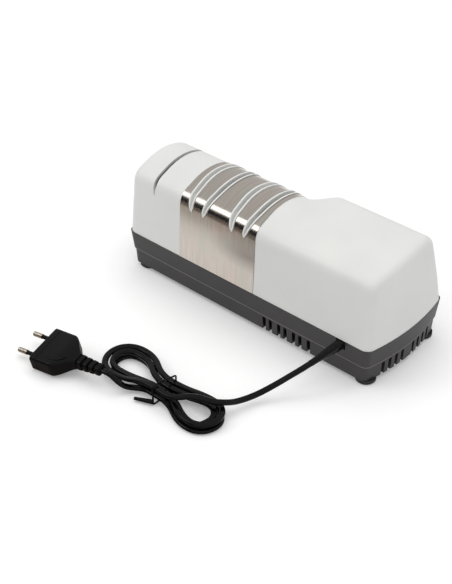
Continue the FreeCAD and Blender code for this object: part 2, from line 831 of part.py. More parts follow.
# The motor: a square core of laminations with its coil round the lower limb
CORE_MIDDLE = "(sizes.core_left + sizes.core_length / 2)"
WINDOW_LOW = "(sizes.core_bottom + 8)"
WINDOW_HIGH = "(sizes.core_bottom + 18)"
core = padded_body(
    "stator_core",
    "YZ_Plane",
    [
        rectangle(
            "sizes.shaft_side - sizes.core_half_width",
            "sizes.shaft_side + sizes.core_half_width",
            "sizes.core_bottom",
            "sizes.core_top",
        ),
        rectangle("sizes.shaft_side - 16", "sizes.shaft_side + 16", WINDOW_LOW, WINDOW_HIGH),
    ],
    [("sizes.shaft_side", "sizes.shaft_level", "sizes.rotor_radius + sizes.air_gap")],
    "sizes.core_length",
)
keep("stator_core", put(core, CORE_MIDDLE))

# The bobbin's tube and flanges, then the winding between the flanges, both round the lower limb
COIL_GROW = 6.0
LIMB = 8.0


def limb_box(label, grow, half):
    """A block round the core's lower limb, grown by a distance and reaching half to each side."""
    return box(
        label,
        f"sizes.core_length + 2 * {grow}",
        f"2 * {half}",
        f"{LIMB} + 2 * {grow}",
        f"sizes.core_left - {grow}",
        f"sizes.shaft_side - {half}",
        f"sizes.core_bottom - {grow}",
    )


limb_hole = limb_box("limb_hole", 0.2, 40)
bobbin_tube = limb_box("bobbin_tube", 1.2, 15)
bobbin_space = limb_box("bobbin_space", COIL_GROW - 0.6, 13.5)
flange_block = limb_box("bobbin_block", COIL_GROW - 0.6, 15)
flange_pair = subtract("bobbin_flanges", flange_block, bobbin_space)
bobbin_solid = join("bobbin_solid", flange_pair, bobbin_tube)
keep("coil_bobbin", subtract("coil_bobbin", bobbin_solid, limb_hole))
coil_block = limb_box("coil_block", COIL_GROW - 1.0, 13.4)
coil_inside = limb_box("coil_inside", 1.3, 40)
keep("field_coil", subtract("field_coil", coil_block, coil_inside))

rotor = turned(
    "motor_rotor",
    [
        ("sizes.core_left - 1", BORE),
        ("sizes.core_left + sizes.core_length + 1", BORE),
        ("sizes.core_left + sizes.core_length + 1", "sizes.rotor_radius - 3"),
        ("sizes.core_left + sizes.core_length", "sizes.rotor_radius"),
        ("sizes.core_left", "sizes.rotor_radius"),
        ("sizes.core_left - 1", "sizes.rotor_radius - 3"),
    ],
)
keep("motor_rotor", put(rotor, **SHAFT))

# Bearing cups on the two faces of the core, each with its bush
CORE_RIGHT = "(sizes.core_left + sizes.core_length)"
for word, face, sign in (("front", CORE_RIGHT, "+"), ("rear", "sizes.core_left", "-")):
    cup = turned(
        f"bearing_cup_{word}",
        [
            (f"{face}", "sizes.cup_radius - sizes.cup_wall"),
            (f"{face}", "sizes.cup_radius"),
            (f"{face} {sign} sizes.cup_depth", "sizes.cup_radius"),
            (f"{face} {sign} sizes.cup_depth", "sizes.bush_radius"),
            (f"{face} {sign} (sizes.cup_depth - sizes.cup_wall)", "sizes.bush_radius"),
            (f"{face} {sign} (sizes.cup_depth - sizes.cup_wall)", "sizes.cup_radius - sizes.cup_wall"),
        ],
    )
    keep(f"bearing_cup_{word}", put(cup, **SHAFT))


def bush(label, left):
    """A plain bush on the shaft, from a place along it."""
    ring = turned(
        label,
        [
            (left, BORE),
            (f"{left} + sizes.bush_length", BORE),
            (f"{left} + sizes.bush_length", "sizes.bush_radius"),
            (left, "sizes.bush_radius"),
        ],
    )
    keep(label, put(ring, **SHAFT))


bush("bearing_bush_front", f"{CORE_RIGHT} + sizes.cup_depth - sizes.bush_length + 1")
bush("bearing_bush_rear", "sizes.core_left - sizes.cup_depth - 1")
bush("bearing_bush_middle", "sizes.middle_block_place - sizes.bush_length / 2")
bush("bearing_bush_end", "sizes.end_block_place - sizes.bush_length / 2")

# The bearing blocks stand on the tray's floor
for word in ("middle", "end"):
    block = padded_body(
        f"bearing_block_{word}",
        "YZ_Plane",
        [
            [
                ("sizes.shaft_side - sizes.block_width", f"{floor_top}"),
                ("sizes.shaft_side + sizes.block_width", f"{floor_top}"),
                ("sizes.shaft_side + sizes.block_width", f"{floor_top} + 4"),
                ("sizes.shaft_side + sizes.block_width / 2", "sizes.shaft_level + 4"),
                ("sizes.shaft_side + sizes.block_width / 4", "sizes.shaft_level + 11"),
                ("sizes.shaft_side - sizes.block_width / 4", "sizes.shaft_level + 11"),
                ("sizes.shaft_side - sizes.block_width / 2", "sizes.shaft_level + 4"),
                ("sizes.shaft_side - sizes.block_width", f"{floor_top} + 4"),
            ]
        ],
        [("sizes.shaft_side", "sizes.shaft_level", "sizes.bush_radius")],
        "sizes.block_thick",
    )
    keep(f"bearing_block_{word}", put(block, f"sizes.{word}_block_place"))

# The fan: a hub and a back plate with straight blades
fan_base = turned(
    "fan_base",
    [
        ("-3", BORE),
        ("4", BORE),
        ("4", "sizes.bush_radius"),
        ("-1.5", "sizes.bush_radius"),
        ("-1.5", "sizes.fan_radius"),
        ("-3", "sizes.fan_radius"),
    ],
)
put(fan_base, "sizes.fan_place", **SHAFT)
FAN_BLADES = 8
blades = [fan_base]
for i in range(FAN_BLADES):
    blade = doc.addObject("Part::Box", f"fan_blade_{i + 1}")
    blade.Length = 6.0
    blade.Width = 1.2
    blade.setExpression("Height", "sizes.fan_radius - sizes.bush_radius")
    turn = Rotation(Vector(1, 0, 0), 360.0 * i / FAN_BLADES)
    start = turn.multVec(Vector(0, -0.6, size("bush_radius") - 0.5))
    blade.Placement = Placement(
        Vector(size("fan_place") - 2.0, size("shaft_side"), size("shaft_level")) + start, turn
    )
    blades.append(blade)
keep("cooling_fan", join("cooling_fan", *blades))

# The manual stage: two cones on one axle, held by a fork on a post
HOLDER_HALF = "(sizes.wheel_width + 0.6 + sizes.holder_arm)"
holder = padded_body(
    "manual_holder",
    "XZ_Plane",
    [
        [
            ("-6", f"{floor_top}"),
            ("6", f"{floor_top}"),
            ("6", "sizes.manual_axle_level - 22"),
            (HOLDER_HALF, "sizes.manual_axle_level - 20"),
            (HOLDER_HALF, "sizes.manual_axle_level + 5"),
            (f"{HOLDER_HALF} - sizes.holder_arm", "sizes.manual_axle_level + 5"),
            (f"{HOLDER_HALF} - sizes.holder_arm", "sizes.manual_axle_level - 16"),
            (f"-({HOLDER_HALF} - sizes.holder_arm)", "sizes.manual_axle_level - 16"),
            (f"-({HOLDER_HALF} - sizes.holder_arm)", "sizes.manual_axle_level + 5"),
            (f"-{HOLDER_HALF}", "sizes.manual_axle_level + 5"),
            (f"-{HOLDER_HALF}", "sizes.manual_axle_level - 20"),
            ("-6", "sizes.manual_axle_level - 22"),
        ]
    ],
    [],
    "16",
)
doc.recompute()
pocket(holder, "YZ_Plane", [], [("0", "sizes.manual_axle_level", "sizes.manual_axle_radius")], "60")
keep("manual_holder", put(holder, "sizes.manual_slot_place", "sizes.shaft_side"))

manual_axle = turned(
    "manual_axle",
    [
        (f"-({HOLDER_HALF} + 0.8)", "0"),
        (f"{HOLDER_HALF} + 0.8", "0"),
        (f"{HOLDER_HALF} + 0.8", "sizes.manual_axle_radius"),
        (f"-({HOLDER_HALF} + 0.8)", "sizes.manual_axle_radius"),
    ],
)
manual_axle = put(manual_axle, "sizes.manual_slot_place", "sizes.shaft_side", "sizes.manual_axle_level")
keep("manual_axle", manual_axle)
WHEEL_BORE = "(sizes.manual_axle_radius + sizes.running_gap)"
for sign, word in (("-", "left"), ("", "right")):
    wheel = turned(
        f"manual_wheel_{word}",
        [
            (sign + "0.1", WHEEL_BORE),
            (sign + "sizes.wheel_width", WHEEL_BORE),
            (sign + "sizes.wheel_width", "sizes.wheel_large"),
            (sign + "(sizes.wheel_width - 2)", "sizes.wheel_large"),
            (sign + "0.1", "sizes.wheel_small"),
        ],
    )
    keep(
        f"manual_wheel_{word}",
        put(wheel, "sizes.manual_slot_place", "sizes.shaft_side", "sizes.manual_axle_level"),
    )

# Small pieces on the tray's floor
magnet_place = ("sizes.stage_one_middle - 17", "sizes.shaft_side - 7", f"{floor_top}")
magnet = box("filings_magnet", "34", "14", "4", *magnet_place)
keep("filings_magnet", magnet)
terminal = box("terminal_body", "22", "12", "10", "sizes.exit_place - 18", "-6", f"{floor_top}")
terminal_hole_a = box("terminal_hole_a", "5", "20", "4", "sizes.exit_place - 15", "-10", f"{floor_top + 3}")
terminal_hole_b = box("terminal_hole_b", "5", "20", "4", "sizes.exit_place - 5", "-10", f"{floor_top + 3}")
terminal_holes = join("terminal_holes", terminal_hole_a, terminal_hole_b)
keep("terminal_block", subtract("terminal_block", terminal, terminal_holes))
clamp_corner = ("sizes.exit_place - 1.3", "sizes.body_width / 2 - 13.2")
way_corner = ("sizes.exit_place + 5.2", "sizes.body_width / 2 - 26")
clamp_foot = box("clamp_foot", "20", "8", "6", *clamp_corner, f"{floor_top}")
clamp_bridge = box("clamp_bridge", "20", "8", "3", *clamp_corner, f"{floor_top + 6}")
clamp_way = box("clamp_way", "7", "30", "3.4", *way_corner, f"{floor_top + 4.3}")
clamp_whole = join("clamp_whole", clamp_foot, clamp_bridge)
keep("cord_clamp", subtract("cord_clamp", clamp_whole, clamp_way))

# The rocker switch, square to the leaning front wall
long = size("switch_long") - 0.3
high = size("switch_high") - 0.3
depth = size("switch_depth")
bezel = Part.makeBox(long + 4, 1.4, high + 4, Vector(-long / 2 - 2, -1.5, -high / 2 - 2))
well = Part.makeBox(long, depth, high, Vector(-long / 2, -0.2, -high / 2))
room_long = long - 4
room_high = high - 3
hollow = Part.makeBox(room_long, 9.0, room_high, Vector(-room_long / 2, -2.0, -room_high / 2))
pivot_depth = 3.0
pin_foot = Vector(0, pivot_depth, -room_high / 2 - 1.5)
pin_line = Part.makeCylinder(1.5, room_high + 3, pin_foot, Vector(0, 0, 1))
switch_shape = bezel.fuse(well).cut(hollow).cut(pin_line)
switch_shape.Placement = switch_frame.multiply(switch_shape.Placement)
keep("switch_housing", free_shape("switch_housing", switch_shape))

half_throw = math.radians(size("rocker_throw") / 2)
rocker_half = room_long / 2 - 1.2
rise = rocker_half * math.tan(half_throw)
outline = [
    Vector(-rocker_half, pivot_depth, 0),
    Vector(-rocker_half, -2.2 - rise, 0),
    Vector(0, -2.2, 0),
    Vector(rocker_half, -2.2 - rise, 0),
    Vector(rocker_half, pivot_depth, 0),
    Vector(0, pivot_depth + 1.8, 0),
]
rocker = Part.Face(Part.makePolygon(outline + [outline[0]])).extrude(Vector(0, 0, room_high - 0.5))
rocker.translate(Vector(0, 0, -(room_high - 0.5) / 2))
journal = Part.makeCylinder(1.4, room_high + 2, Vector(0, pivot_depth, -room_high / 2 - 1), Vector(0, 0, 1))
rocker = rocker.fuse(journal)
rocker.rotate(Vector(0, pivot_depth, 0), Vector(0, 0, 1), -size("rocker_throw") / 2)
rocker.Placement = switch_frame.multiply(rocker.Placement)
keep("switch_rocker", free_shape("switch_rocker", rocker))
pivot_world = switch_frame.multVec(Vector(0, pivot_depth, 0))
pivot_axis = switch_frame.Rotation.multVec(Vector(0, 0, 1))
print("rocker pivot", [round(c, 3) for c in pivot_world], "axis", [round(c, 5) for c in pivot_axis])

# The mains lead: a tapered strain relief, a free stretch, a tied hank and the plug
exit_point = Vector(size("exit_place"), half_wide, exit_level)
turn = math.radians(size("exit_turn"))
droop = math.radians(size("exit_droop"))
exit_way = Vector(math.sin(turn) * math.cos(droop), math.cos(turn) * math.cos(droop), -math.sin(droop))
relief = turned(
    "strain_relief",
    [
        ("-8", "0"),
        ("-8", "sizes.relief_root + 0.7"),
        ("-5", "sizes.relief_root + 0.7"),
        ("-5", "sizes.relief_root - 0.4"),
        ("0.4", "sizes.relief_root - 0.4"),
        ("0.4", "sizes.relief_root"),
        ("4", "sizes.relief_root"),
        ("sizes.relief_length", "sizes.relief_tip"),
        ("sizes.relief_length", "0"),
    ],
)
relief.Placement = Placement(exit_point, Rotation(Vector(1, 0, 0), exit_way))
keep("strain_relief", relief)

lead = size("lead_diameter")
HANK_MIDDLE = Vector(-15.7, 152.0, 0)
TURN_STEP = 6.0
LOBE_HALF = 19.0
DRAWN_IN = 8.5
SLOT_SIDE_REACH = 44.0
MOTOR_SIDE_REACH = 37.5
SLOT_SIDE_SHIFT = -4.5
MOTOR_SIDE_SHIFT = 1.5
HANK_TURNS = 3
LAYER = 5.2
FLOOR_GAP = 0.1
WAIST_LIFT = 1.8
TURNS_DOWN = 1.75
STUB = lead * 1.2
low_layer = lead / 2 + FLOOR_GAP


def hank_reach(t):
    """How far out the winding lies after t turns: it spirals in, then out again."""
    return LOBE_HALF - TURN_STEP * (TURNS_DOWN - abs(TURNS_DOWN - t))


def hank_level(t):
    """The top layer until the spiral turns back, then the bottom one."""
    return low_layer + LAYER if t < TURNS_DOWN else low_layer


def hank_knots():
    """Places and headings of the winding, eight to a turn, from the top of the waist to its end."""
    right, left = SLOT_SIDE_REACH, -MOTOR_SIDE_REACH
    up, down = SLOT_SIDE_SHIFT, MOTOR_SIDE_SHIFT
    start = Vector(0, LOBE_HALF - DRAWN_IN, low_layer + 2 * LAYER + WAIST_LIFT)
    knots = [(HANK_MIDDLE + start, Vector(1, 0, 0))]
    for i in range(1, 8 * HANK_TURNS + 1):
        t = i / 8.0
        out = hank_reach(t)
        level = hank_level(t)
        if abs(t - TURNS_DOWN) < 0.01:
            level = low_layer + LAYER / 2
        lifted = level + WAIST_LIFT
        around = [
            ((0, out - DRAWN_IN, lifted), (1, 0, 0)),
            ((right, up + out, level), (1, 0, 0)),
            ((right + out, up, level), (0, -1, 0)),
            ((right, up - out, level), (-1, 0, 0)),
            ((0, DRAWN_IN - out, lifted), (-1, 0, 0)),
            ((left, down - out, level), (-1, 0, 0)),
            ((left - out, down, level), (0, 1, 0)),
            ((left, down + out, level), (1, 0, 0)),
        ]
        place, heading = around[i % 8]
        knots.append((HANK_MIDDLE + Vector(*place), Vector(*heading)))
    return knots


knots = hank_knots()
hank_start = knots[0][0] - Vector(STUB, 0, 0)
hank_end = knots[-1][0] + Vector(STUB, 0, 0)
hank_edges = [Part.LineSegment(hank_start, knots[0][0]).toShape()]
for (a, u), (b, v) in zip(knots, knots[1:]):
    hank_edges += biarc(a, u, b, v)
hank_edges.append(Part.LineSegment(knots[-1][0], hank_end).toShape())
hank, hank_path = tube_on(hank_edges, lead / 2)
keep("cord_hank", free_shape("cord_hank", hank))
print("hank length", round(hank_path.Length, 1), "volume ratio",
      round(hank.Volume / (hank_path.Length * math.pi * lead * lead / 4), 4))


def least_gap(path, diameter, step):
    """The least clear space between two passes of a tube, measured on points along its middle."""
    points = path.discretize(Distance=step)
    skip = int(3.2 * diameter / step)
    best = 1e9
    for i, a in enumerate(points):
        for b in points[i + skip:]:
            best = min(best, a.distanceToPoint(b))
    return best - diameter


print("least gap in the hank", round(least_gap(hank_path, lead, 1.5), 2))


def tangent_path(points):
    """Straight runs joined by arcs as large as their two runs allow; prints the arcs' radii."""
    edges = []
    radii = []
    here = points[0]
    for a, b, c in zip(points, points[1:], points[2:]):
        shorter = min((b - a).Length, (c - b).Length)
        into = (b - a).normalize()
        out = (c - b).normalize()
        half = into.getAngle(out) / 2
        radius = 0.45 * shorter / math.tan(half)
        radii.append(round(radius, 1))
        reach = 0.45 * shorter
        first = b - into * reach
        last = b + out * reach
        middle = b + (out - into).normalize() * (radius / math.cos(half) - radius)
        edges.append(Part.LineSegment(here, first).toShape())
        edges.append(Part.Arc(first, middle, last).toShape())
        here = last
    edges.append(Part.LineSegment(here, points[-1]).toShape())
    print("radii", radii)
    return edges


# The free stretch falls from the strain relief and climbs over the hank's loops
relief_end = exit_point + exit_way * size("relief_length")
LEAD_ROUTE = [
    relief_end,
    relief_end + exit_way * 8.0,
    Vector(-82.1, 89.9, 23.1),
    Vector(-76.7, 97.5, 11.9),
    Vector(-69.4, 111.1, 6.9),
    Vector(-65.4, 128.3, 8.2),
    Vector(-63.1, 137.8, 12.0),
    Vector(-56.8, 146.3, 14.6),
    Vector(-45.2, 153.2, 18.2),
    hank_start - Vector(11.0, 0, 0),
    hank_start,
]
stretch, stretch_path = tube_on(tangent_path(LEAD_ROUTE), lead / 2)
keep("cord_stretch", free_shape("cord_stretch", stretch))
print("stretch length", round(stretch_path.Length, 1), "volume ratio",
      round(stretch.Volume / (stretch_path.Length * math.pi * lead * lead / 4), 4))

# The plug lies on its side beyond the hank, with its neck towards it
PLUG_TURN = 6.8
PLUG_NOSE = 5.1
PLUG_ROLL = -11.0
NECK_END = Vector(27.9, 174.6, 14.7)
NECK_LONG = 24.0
PLUG_DEEP = 34.0
plug_rotation = Rotation(Vector(0, 0, 1), PLUG_TURN)
plug_rotation = plug_rotation.multiply(Rotation(Vector(0, 1, 0), PLUG_NOSE))
plug_rotation = plug_rotation.multiply(Rotation(Vector(1, 0, 0), PLUG_ROLL))
plug_frame = Placement(NECK_END, plug_rotation)
neck_way = plug_rotation.multVec(Vector(1, 0, 0))

tail_route = [
    hank_end,
    hank_end + Vector(8.0, 0, 0),
    Vector(5.9, 163.9, 3.8),
    Vector(10.0, 169.8, 6.1),
    Vector(13.7, 173.1, 11.4),
    NECK_END - neck_way * 7.0,
    NECK_END,
]
tail, tail_path = tube_on(tangent_path(tail_route), lead / 2)
keep("cord_tail", free_shape("cord_tail", tail))
print("tail length", round(tail_path.Length, 1))


def plug_section(x, half_across, half_thick, round_off):
    """A rounded rectangle square to the plug's axis."""
    flat = half_across - round_off
    tall = half_thick - round_off
    nick = round_off * (1 - math.sqrt(0.5))
    edges = []
    for sy, sz in ((1, 1), (-1, 1), (-1, -1), (1, -1)):
        side = Vector(x, sy * half_across, sz * tall)
        top = Vector(x, sy * flat, sz * half_thick)
        middle = Vector(x, sy * (half_across - nick), sz * (half_thick - nick))
        first, last = (side, top) if sy * sz > 0 else (top, side)
        edges.append((first, middle, last))
    shapes = []
    for i, (first, middle, last) in enumerate(edges):
        shapes.append(Part.Arc(first, middle, last).toShape())
        shapes.append(Part.LineSegment(last, edges[(i + 1) % 4][0]).toShape())
    return Part.Wire(shapes)


half_plug = size("plug_wide") / 2
half_thick = size("plug_thick") / 2
nose = NECK_LONG + PLUG_DEEP
plug_stations = [
    (NECK_LONG - 1.0, 5.2, 4.6, 2.0),
    (NECK_LONG + 5.0, 10.0, 5.6, 2.4),
    (NECK_LONG + 14.0, half_plug - 1.4, half_thick - 0.5, 2.4),
    (NECK_LONG + 22.0, half_plug, half_thick, 2.4),
    (nose, half_plug - 0.4, half_thick - 0.3, 2.4),
]
plug = Part.makeLoft([plug_section(*station) for station in plug_stations], True, True)
NECK_RINGS = 4
ring_step = (NECK_LONG - 2.0) / NECK_RINGS
core_ends = [plug_section(0, 3.6, 3.1, 1.2), plug_section(NECK_LONG, 4.2, 3.8, 1.2)]
core_neck = Part.makeLoft(core_ends, True, True)
plug = plug.fuse(core_neck)
for i in range(NECK_RINGS):
    left = 0.6 + i * ring_step
    grow = 0.25 * i
    ring = Part.makeLoft(
        [
            plug_section(left, 4.6 + grow, 4.0 + grow, 1.4),
            plug_section(left + 3.4, 4.8 + grow, 4.2 + grow, 1.4),
        ],
        True,
        True,
    )
    plug = plug.fuse(ring)
pin_places = [-size("pin_spacing") / 2, size("pin_spacing") / 2]
PIN_ROOT = 6.0
SLEEVE_LONG = 10.0
SLEEVE_RADIUS = size("plug_pin_radius") - 0.3
CORE_RADIUS = 1.3
for y in pin_places:
    socket = Part.makeCylinder(SLEEVE_RADIUS, PIN_ROOT, Vector(nose - PIN_ROOT, y, 0), Vector(1, 0, 0))
    plug = plug.cut(socket)
plug.Placement = plug_frame
keep("plug_body", free_shape("plug_body", plug))

metal = []
sleeves = []
for y in pin_places:
    along = Vector(1, 0, 0)
    root = Vector(nose - PIN_ROOT, y, 0)
    stem = Part.makeCylinder(CORE_RADIUS, PIN_ROOT + SLEEVE_LONG, root, along)
    bare = Part.makeCylinder(
        size("plug_pin_radius"), size("pin_length") - SLEEVE_LONG, Vector(nose + SLEEVE_LONG, y, 0), along
    )
    tip_end = nose + size("pin_length")
    tip_edge = [e for e in bare.Edges if abs(e.BoundBox.XMin - tip_end) < 0.01 and e.Closed]
    metal.append(bare.makeFillet(1.0, tip_edge).fuse(stem))
    sleeve = Part.makeCylinder(SLEEVE_RADIUS, PIN_ROOT + SLEEVE_LONG, root, along)
    sleeves.append(sleeve.cut(stem))
metal_pins = Part.makeCompound(metal)
metal_pins.Placement = plug_frame
keep("plug_pins", free_shape("plug_pins", metal_pins))
sleeve_pair = Part.makeCompound(sleeves)
sleeve_pair.Placement = plug_frame
keep("pin_sleeves", free_shape("pin_sleeves", sleeve_pair))
for y in pin_places:
    face = plug_frame.multVec(Vector(nose + SLEEVE_LONG + 4.0, y, 0))
    print("plug pin", [round(c, 2) for c in face], "axis", [round(c, 4) for c in neck_way])

# The wire tie goes round all the passes at the waist; its twisted ends lie at the near side
TIE_WIRE = 1.4
tie_gap = TIE_WIRE / 2 + 0.3
near = hank_reach(0) - DRAWN_IN + lead / 2 + tie_gap
far = hank_reach(0.5) - DRAWN_IN + lead / 2 + tie_gap
tie_low = TIE_WIRE / 2 + 0.1
tie_high = low_layer + 2 * LAYER + WAIST_LIFT + lead / 2 + tie_gap
tie_shoulder = low_layer + LAYER + WAIST_LIFT + lead / 2 + tie_gap
TIE_PLAN = [
    (0.0, tie_low),
    (near, tie_low),
    (near, tie_high),
    (near - lead - 2 * tie_gap, tie_high),
    (-far, tie_shoulder + 0.8),
    (-far, tie_low),
]
tie_points = [HANK_MIDDLE + Vector(0, y, z) for y, z in TIE_PLAN]


def closed_tie(points, round_off):
    """A closed loop of straight runs with small round corners, as a wire."""
    edges = []
    count = len(points)
    ends = []
    for i in range(1, count):
        before = (points[i - 1] - points[i]).normalize()
        after = (points[(i + 1) % count] - points[i]).normalize()
        half = (math.pi - before.getAngle(after)) / 2
        reach = round_off * math.tan(half)
        middle = points[i] + (before + after).normalize() * (round_off / math.cos(half) - round_off)
        ends.append((points[i] + before * reach, middle, points[i] + after * reach))
    here = points[0]
    for first, middle, last in ends:
        edges.append(Part.LineSegment(here, first).toShape())
        edges.append(Part.Arc(first, middle, last).toShape())
        here = last
    edges.append(Part.LineSegment(here, points[0]).toShape())
    return edges


tie_ring, tie_path = tube_on(closed_tie(tie_points, 1.6), TIE_WIRE / 2)
tail_root = HANK_MIDDLE + Vector(0, near + 0.2, 3.4)
tie_tail = Part.makeCone(1.9, 1.3, 15.0, tail_root, Vector(0.93, 0.36, -0.06))
keep("hank_tie", free_shape("hank_tie", tie_ring.fuse(tie_tail)))

# Every object has to be sound before anything is written
doc.recompute()
for thing in doc.Objects:
    if "Invalid" in thing.State or "Error" in thing.State:
        raise RuntimeError(f"{thing.Label} failed: {thing.State}")
labels = [thing.Label for thing in made]
if len(labels) != len(set(labels)):
    raise RuntimeError("two pieces share a label")
for thing in made:
    if thing.Shape.isNull() or not thing.Shape.isValid() or not thing.Shape.Solids:
        raise RuntimeError(f"{thing.Label} has no sound shape")

os.makedirs("parts", exist_ok=True)
for thing in made:
    thing.Shape.exportStep(os.path.join("parts", thing.Label + ".step"))
    bounds = thing.Shape.BoundBox
    print(
        f"{thing.Label:24s} solids {len(thing.Shape.Solids)} volume {thing.Shape.Volume:10.1f}"
        f"  x {bounds.XMin:8.2f} {bounds.XMax:8.2f}  y {bounds.YMin:8.2f} {bounds.YMax:8.2f}"
        f"  z {bounds.ZMin:7.2f} {bounds.ZMax:7.2f}"
    )
print("pieces", len(made))
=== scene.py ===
# %% [markdown]
# An electric knife sharpener with its lead tied in a hank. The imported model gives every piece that
# carries, turns or fits. This file adds what the eye sees: the finish of each surface, the flat twin
# lead as one real length of cord, and the moulded plug. It starts by loading that model.

# %% Load the model
import json
import math

import bpy
import numpy as np
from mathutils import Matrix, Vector


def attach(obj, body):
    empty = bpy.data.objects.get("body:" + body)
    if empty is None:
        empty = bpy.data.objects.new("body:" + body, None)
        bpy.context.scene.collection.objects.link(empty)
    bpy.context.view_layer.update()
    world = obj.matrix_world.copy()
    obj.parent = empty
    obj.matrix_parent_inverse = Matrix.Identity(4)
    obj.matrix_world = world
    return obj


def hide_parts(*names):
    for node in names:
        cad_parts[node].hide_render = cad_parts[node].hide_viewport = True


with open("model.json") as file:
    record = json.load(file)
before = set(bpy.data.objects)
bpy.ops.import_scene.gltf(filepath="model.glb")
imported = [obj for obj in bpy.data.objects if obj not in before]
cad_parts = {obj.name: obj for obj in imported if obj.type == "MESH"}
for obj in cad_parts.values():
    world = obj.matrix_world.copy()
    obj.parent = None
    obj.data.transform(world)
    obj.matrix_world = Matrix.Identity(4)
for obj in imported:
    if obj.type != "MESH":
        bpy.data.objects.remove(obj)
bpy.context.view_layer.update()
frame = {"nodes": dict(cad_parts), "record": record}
nodes = frame["nodes"]
MM = 0.001


# %% [markdown]
# Colours are written as they would be picked on a screen, in hex, and one function turns them into the
# linear values that light is worked out with. A second small function adds a node to a material, sets
# its inputs and joins it up, so each material below reads as a list of what the surface is made of.

# %% Colour and node helpers
def linear(code):
    """An sRGB hex colour as linear RGBA: each channel c becomes ((c + 0.055) / 1.055) to the power 2.4."""
    channels = [int(code[i:i + 2], 16) / 255 for i in (1, 3, 5)]
    return [c / 12.92 if c <= 0.04045 else ((c + 0.055) / 1.055) ** 2.4 for c in channels] + [1.0]


def add(tree, kind, inputs=None, **settings):
    """Adds one node with its settings, and gives each input a value or joins it to a socket."""
    node = tree.nodes.new(kind)
    for name, value in settings.items():
        setattr(node, name, value)
    for key, value in (inputs or {}).items():
        if isinstance(value, bpy.types.NodeSocket):
            tree.links.new(value, node.inputs[key])
        else:
            node.inputs[key].default_value = value
    return node


def surface(name, colour, roughness, metallic=0.0):
    """A new material with its main shader; returns the material, its tree and that shader."""
    material = bpy.data.materials.new(name)
    material.use_nodes = True
    tree = material.node_tree
    shader = tree.nodes["Principled BSDF"]
    shader.inputs["Base Color"].default_value = linear(colour)
    shader.inputs["Roughness"].default_value = roughness
    shader.inputs["Metallic"].default_value = metallic
    return material, tree, shader


def place(tree, stretch=(1.0, 1.0, 1.0), shift=(0.0, 0.0, 0.0)):
    """The object's own coordinates in metres, stretched along each axis and then shifted."""
    where = add(tree, "ShaderNodeTexCoord").outputs["Object"]
    moved = {"Vector": where, "Scale": stretch, "Location": shift}
    return add(tree, "ShaderNodeMapping", moved).outputs["Vector"]


def noise(tree, where, size_mm, detail=2.0):
    """Noise whose blotches are about size_mm across."""
    return add(tree, "ShaderNodeTexNoise", {"Vector": where, "Scale": 1.0 / (size_mm * MM), "Detail": detail})


def ramp(tree, value, low, high):
    """Turns a noise value, which mostly lies between 0.3 and 0.7, into low to high."""
    node = add(tree, "ShaderNodeMapRange", {"Value": value, "From Min": 0.3, "From Max": 0.7,
                                            "To Min": low, "To Max": high})
    return node.outputs["Result"]


def vary(tree, shader, value, roughness, less, more):
    """Lets the roughness swing with a value, from a little less to a little more."""
    tree.links.new(ramp(tree, value, roughness - less, roughness + more), shader.inputs["Roughness"])


def tint(tree, value, first, second):
    """Blends two colours by a value."""
    node = add(tree, "ShaderNodeMix", {"Factor": value}, data_type="RGBA")
    node.inputs["A"].default_value = linear(first)
    node.inputs["B"].default_value = linear(second)
    return node.outputs["Result"]


def shaded(tree, colour, share):
    """A colour multiplied by a share of its own brightness."""
    node = add(tree, "ShaderNodeMix", {"Factor": 1.0}, data_type="RGBA", blend_type="MULTIPLY")
    tree.links.new(colour, node.inputs["A"])
    tree.links.new(share, node.inputs["B"])
    return node.outputs["Result"]


def roughen(tree, shader, value, height_mm):
    """Raises the surface by a height given in millimetres."""
    bump = add(tree, "ShaderNodeBump", {"Height": value, "Distance": height_mm * MM, "Strength": 1.0})
    tree.links.new(bump.outputs["Normal"], shader.inputs["Normal"])


# %% [markdown]
# The case and base are moulded ABS. Their mould was spark-eroded to a fine satin, so the shine is soft and
# broken by a grain of about half a millimetre. The grain could be a real relief, but it is far finer
# than a pixel, so a low bump and a little change of roughness give the same look.

# %% Moulded plastics
PLASTIC_DRIFT_MM = 45.0


def moulded(name, colour, other, roughness, grain_mm=0.5, height_mm=0.008):
    """Satin moulded plastic: a fine eroded grain, and a faint drift of colour over some centimetres."""
    material, tree, shader = surface(name, colour, roughness)
    where = place(tree)
    drift = noise(tree, where, PLASTIC_DRIFT_MM).outputs["Fac"]
    tree.links.new(tint(tree, ramp(tree, drift, 0.0, 1.0), colour, other), shader.inputs["Base Color"])
    grain = noise(tree, where, grain_mm, 3.0).outputs["Fac"]
    vary(tree, shader, grain, roughness, 0.04, 0.05)
    roughen(tree, shader, grain, height_mm)
    return material


# The case: a warm white with a soft sheen.
white_abs = moulded("White satin ABS", "#E9E9E6", "#E4E5E3", 0.42)
# The base: charcoal with a coarser grain, so its edges stay soft.
dark_abs = moulded("Charcoal textured ABS", "#2F2B2E", "#292628", 0.46, 0.7, 0.02)
# The plug, the pins' sleeves and the hank's tie: soft PVC, nearly black, with little shine.
PLUG_SHINE = 0.14
black_pvc_moulding = moulded("Black moulded PVC", "#08080A", "#121213", 0.34, 0.8, 0.02)
black_pvc_moulding.node_tree.nodes["Principled BSDF"].inputs["Specular IOR Level"].default_value = PLUG_SHINE
# The rocker: a harder, glossier black than the base round it.
switch_nylon = moulded("Black switch nylon", "#1B1B1C", "#222223", 0.4)
# The inner holders, the bobbin and the fan: unpigmented nylon, cream and a little waxy.
natural_nylon = moulded("Natural nylon", "#C9C7BE", "#BDBAAF", 0.5)
# The feet: rubber, the dullest surface of all.
foot_rubber = moulded("Black foot rubber", "#201E1F", "#272526", 0.72, 0.9, 0.03)
print("moulded plastics", len(bpy.data.materials))


